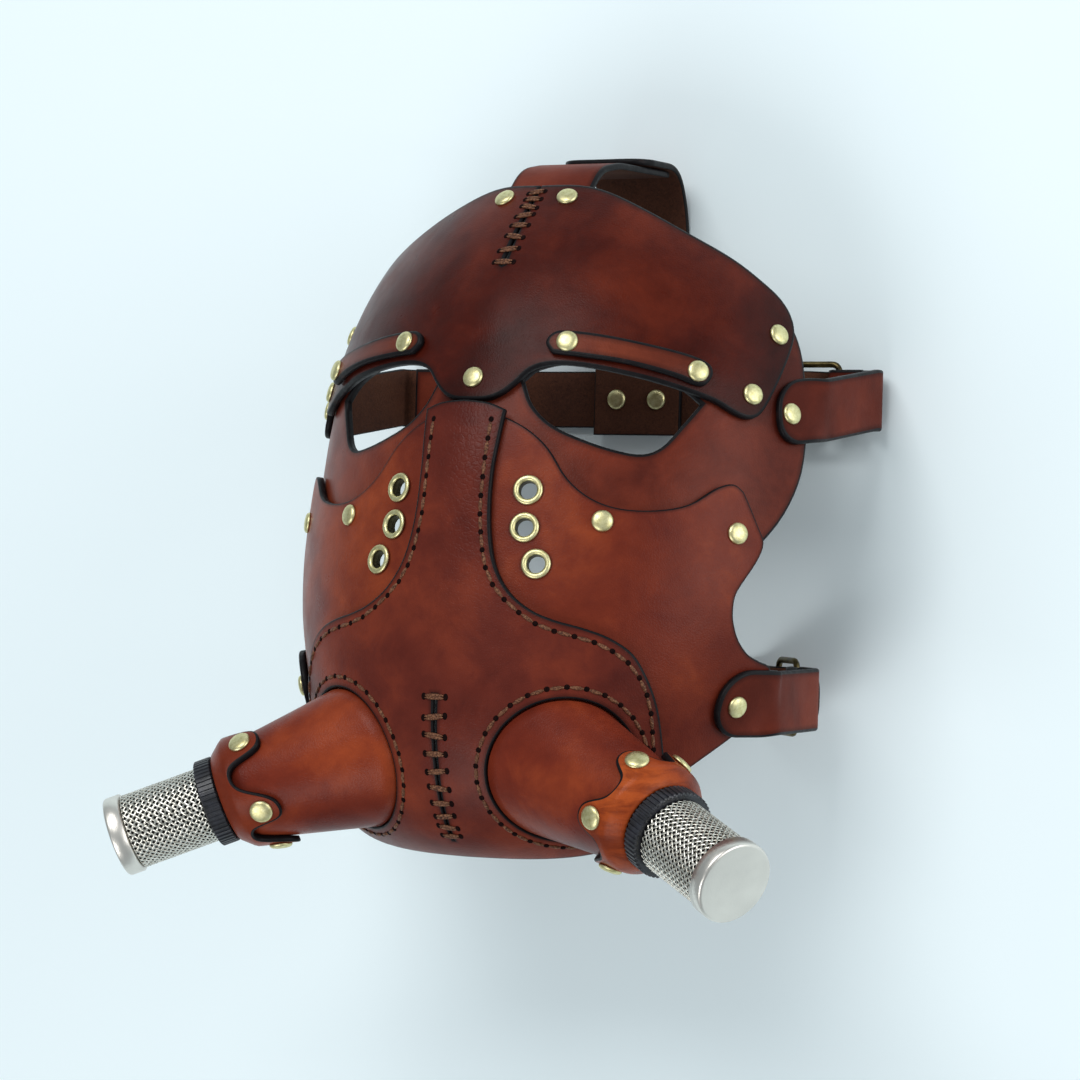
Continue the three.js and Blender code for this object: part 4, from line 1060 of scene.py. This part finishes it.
def buckle_point(angle, round_wire):
    """The wire of a buckle: a rounded oblong in the XY plane, in millimetres. Each quarter turn is
    half a straight length, a bend, and half of the next straight length."""
    long = BUCKLE_LENGTH / 2 - BUCKLE_CORNER
    wide = BUCKLE_HALF_WIDTH - WIRE / 2 - BUCKLE_CORNER
    centres = [Vector(c) for c in ((long, wide, 0), (-long, wide, 0), (-long, -wide, 0), (long, -wide, 0))]
    quarter = angle % (2 * math.pi) / (math.pi / 2)
    index = int(quarter) % 4
    share = quarter - int(quarter)
    turn = (index + min(max((share - STRAIGHT_SHARE) / (1 - 2 * STRAIGHT_SHARE), 0), 1)) * math.pi / 2
    past = (min(share - STRAIGHT_SHARE, 0) + max(share + STRAIGHT_SHARE - 1, 0)) / STRAIGHT_SHARE
    neighbour = centres[index - 1] if past < 0 else centres[(index + 1) % 4]
    out = Vector((math.cos(turn), math.sin(turn), 0))
    along = Vector((-out.y, out.x, 0)) * (neighbour - centres[index]).length / 2
    spot = centres[index] + out * BUCKLE_CORNER + along * past
    return spot + (out * math.cos(round_wire) + Vector((0, 0, 1)) * math.sin(round_wire)) * (WIRE / 2 - 0.05)


def place_buckle(node, side, stretch, straight, middle):
    wire = ring_shape([(0, buckle_point, 2 * math.pi * k / 10) for k in range(10)], 120)
    in_fold = straight - FOLD_DEPTH / 2 - 0.5
    heel, front = [stretch(in_fold + reach, -FOLD_DEPTH / 2) for reach in (0, BUCKLE_LENGTH)]
    between = (heel + front) / 2
    lean = math.atan2(front.y - heel.y, heel.x - front.x)
    bmesh.ops.rotate(wire, cent=(0, 0, 0), matrix=Matrix.Rotation(lean, 3, "Y"), verts=wire.verts[:])
    bmesh.ops.translate(wire, verts=wire.verts[:], vec=(between.x, middle, between.y))
    settle(wire, side)
    dress(node, "wire", wire, (aged,), "antique_brass")


for name, side in SIDES:
    strap(f"upper_strap_{name}", strip(upper_route.length, STRAP_HALF, 10), upper_place, side, 1.6)
    strap(f"lower_strap_{name}", strip(lower_route.length, STRAP_HALF, 11), lower_place, side, 1.6)
    place_buckle(f"upper_buckle_{name}", side, upper_stretch, UPPER_STRAIGHT, UPPER_REAR)
    place_buckle(f"lower_buckle_{name}", side, lower_stretch, LOWER_STRAIGHT, LOWER_REAR)

# Rear and crown straps
# Two straps join the buckles behind the head, each with its end tucked back through the wire. The
# crown strap comes from under the forehead panel; its rear piece lies on it and goes down behind.


def rear_half(stretch, straight, tail, meets):
    """The left half of a rear strap's route, from its tail behind the buckle to the middle."""
    inner, outer = -(FOLD_DEPTH + STRAP_LEATHER), STACK
    start, dip = stretch(straight - tail, outer), stretch(straight + 3, outer)
    inside, past = stretch(straight + 12, inner), stretch(straight + 22, inner)
    return [tuple(start), (*dip, 3), (*inside, 4), (*past, 5)] + meets


def rear_strap(node, half, middle):
    route = Route(half + [(-c[0], *c[1:]) for c in reversed(half)])
    strap(node, strip(route.length, STRAP_HALF - 0.5, 9, 9), side_place(route, lambda s: middle))


upper_half = rear_half(upper_stretch, UPPER_STRAIGHT, 17, [(50, REAR_LEVEL, 8)])
rear_strap("upper_rear_strap", upper_half, UPPER_REAR)
lower_half = rear_half(lower_stretch, LOWER_STRAIGHT, LOWER_TAIL, [(55, REAR_LEVEL, 10)])
rear_strap("lower_rear_strap", lower_half, LOWER_REAR)

CROWN_HALF, CROWN_TOP, CROWN_END = 18, 86, -122
# Where the front piece begins under the forehead panel, how far up it comes for each millimetre of
# its length there, and over which stretch of its length it leaves the head form.
CROWN_START, CROWN_RISE, CROWN_LEAVE = 50, 0.76, (31, 58)
crown_start, crown_leave = wrap(0, CROWN_START, 0), wrap(0, FOREHEAD_TOP + 3, 0)
crown_route = Route([(crown_start.y, crown_start.z), (crown_leave.y, crown_leave.z, 6), (CROWN_TOP, -74, 9),
                     (CROWN_TOP + 1, CROWN_END)])
crown_rear_route = Route([
    (CROWN_TOP + 0.6 + STACK, -97), (CROWN_TOP + 1 + STACK, CROWN_END - 6, 8),
    (CROWN_TOP - 14, REAR_LEVEL, 12), (20, REAR_LEVEL, 5), (13, REAR_LEVEL + STACK, 5),
    (-16, REAR_LEVEL + STACK)])


def crown_place(route):
    def place(s, across, lift):
        return Vector((across, *route.lifted(s, lift)))
    return place


def crown_front_place(s, across, lift):
    free = crown_place(crown_route)(s, across, lift)
    up = CROWN_START + s * CROWN_RISE
    on_form = wrap(AROUND_UNIT * across / section_at(up)[2], up, lift)
    return on_form.lerp(free, ease(s, *CROWN_LEAVE))


strap("crown_strap_front", strip(crown_route.length, CROWN_HALF), crown_front_place, 1, 3, 4)
crown_rear_edge = strip(crown_rear_route.length, CROWN_HALF + 1.5, 9)
strap("crown_strap_rear", crown_rear_edge, crown_place(crown_rear_route))

# Rivets and eyelets
# Double-capped brass rivets hold the panels, strips and straps; brass eyelets line the breathing holes.
CAP_LIFT = 0.35
# Each with its place going round and up, the layer it sits on, and the leather it goes through.
PANEL_RIVETS = (
    ("forehead_top_rivet", 16.5, 67.5, ON_SECOND, 6.4, wrap_forehead),
    ("forehead_side_rivet", 109, 18, ON_SECOND, 6.4, wrap_forehead),
    ("forehead_lobe_rivet", 97.5, -4.8, ON_SECOND, 6.4, wrap_forehead),
    ("brow_inner_rivet", 31.8, 11, THIRD_LAYER + STRAP_LEATHER, 9.6, wrap_forehead),
    ("brow_outer_rivet", 76, 1.6, THIRD_LAYER + STRAP_LEATHER, 9.6, wrap_forehead),
    ("cheek_front_rivet", 48.8, -53.2, ON_SECOND, 6.4, wrap),
    ("cheek_rear_rivet", 94, -56, ON_SECOND, 6.4, wrap),
    ("upper_strap_rivet", 113.5, UPPER_FRONT, SECOND_LAYER + STRAP_LEATHER, 6.2, wrap),
    ("lower_strap_rivet", 106, -116.5, THIRD_LAYER + STRAP_LEATHER, 6.2, wrap),
)


def set_rivet(node, point, out, through):
    rivet = rivet_shape(through)
    stand(rivet, point + out * CAP_LIFT, out)
    dress(node, "cap", rivet, (BRASS,), "brass")


set_rivet("nose_rivet", wrap_forehead(0, -1.8, ON_SECOND), form_normal(0, -1.8), 6.4)
for title, around, up, layer, through, place in PANEL_RIVETS:
    for name, side in SIDES:
        set_rivet(f"{title}_{name}", place(side * around, up, layer), form_normal(side * around, up), through)
EYELET_LIP = [(3.3, -3.5), (3.8, -3.5), (3.8, 0.1), (5.45, 0.15), (5.65, 0.5), (5.45, 0.95), (4.95, 1.25),
              (4.3, 1.3), (3.75, 1.05), (3.4, 0.55), (3.3, -3.5)]
for name, side in SIDES:
    spot = Vector((side * 9, UPPER_REAR, REAR_LEVEL + STACK + 0.1))
    set_rivet(f"crown_rear_rivet_{name}", spot, Vector((0, 0, 1)), 3.2)
    for index, (around, up) in enumerate(EYELETS):
        eyelet = turned(EYELET_LIP, 40)
        for face in eyelet.faces:
            face.material_index = 1 if face.calc_center_median().z < 0.1 else 0
        stand(eyelet, wrap(side * around, up, ON_SECOND), form_normal(side * around, up))
        dress(f"eyelet_{name}_{index + 1}", "lip", eyelet, (BRASS, BARREL), "brass")

# Table, light and camera
# A pale table top, soft studio light from above, and the camera where the photograph was taken from,
# looking down on the lying mask.
TABLE_SIZE, TABLE_DROP = 12, 0.0002
bpy.ops.mesh.primitive_plane_add(size=TABLE_SIZE, location=(0, 0, -TABLE_DROP))
table_top = bpy.context.object
table_top.name = "table_top"
pale = Finish("pale_table", roughness=0.8, base_color=tint(238, 250, 253))
table_top.data.materials.append(pale.material)

world = bpy.data.worlds.new("studio")
bpy.context.scene.world = world
world.use_nodes = True
sky = world.node_tree.nodes["Background"].inputs
sky["Color"].default_value = tint(236, 248, 255)
sky["Strength"].default_value = 0.38
bpy.context.scene.view_settings.view_transform = "Standard"

# The camera, from the photograph: how it is turned, where it stands in the mask's millimetres as it
# sees them (right, up, back), and its lens on a 36 mm sensor.
YAW, PITCH, ROLL = math.radians(28.107), math.radians(0.01), math.radians(-1.52)
CAMERA_PLACE = Vector((23.85, -60.24, 1345.8))
LENS, SENSOR, FAR_CLIP = 120.05, 36, 20
to_camera = Matrix.Rotation(ROLL, 3, "Z") @ Matrix.Rotation(PITCH, 3, "X") @ Matrix.Rotation(-YAW, 3, "Y")
camera_data = bpy.data.cameras.new("camera")
camera_data.lens = LENS
camera_data.sensor_width = SENSOR
camera_data.clip_end = FAR_CLIP
camera = bpy.data.objects.new("camera", camera_data)
bpy.context.scene.collection.objects.link(camera)
from_camera = to_camera.transposed()
camera.matrix_world = Matrix.Translation(on_table(from_camera @ CAMERA_PLACE)) @ from_camera.to_4x4()
bpy.context.scene.camera = camera

# What the lights aim at, in metres: the middle of the mask.
LIT_PLACE = Vector((0, 0, 0.1))


def soft_box(name, right, up, back, size, power):
    """A square soft light, set to the camera's right, up and back from the mask, in metres."""
    lamp = bpy.data.lights.new(name, "AREA")
    lamp.shape = "SQUARE"
    lamp.size = size
    lamp.energy = power
    light = bpy.data.objects.new(name, lamp)
    bpy.context.scene.collection.objects.link(light)
    away = from_camera @ Vector((right, up, back))
    light.location = LIT_PLACE + away
    light.rotation_mode = "QUATERNION"
    light.rotation_quaternion = (-away).to_track_quat("-Z", "Y")


soft_box("key_light", -0.9, 1.5, 1.5, 1.3, 28)
soft_box("fill_light", 1.6, 0.4, 1.4, 1.4, 20)
soft_box("low_light", -1.1, -1.3, 1.4, 1.2, 16)
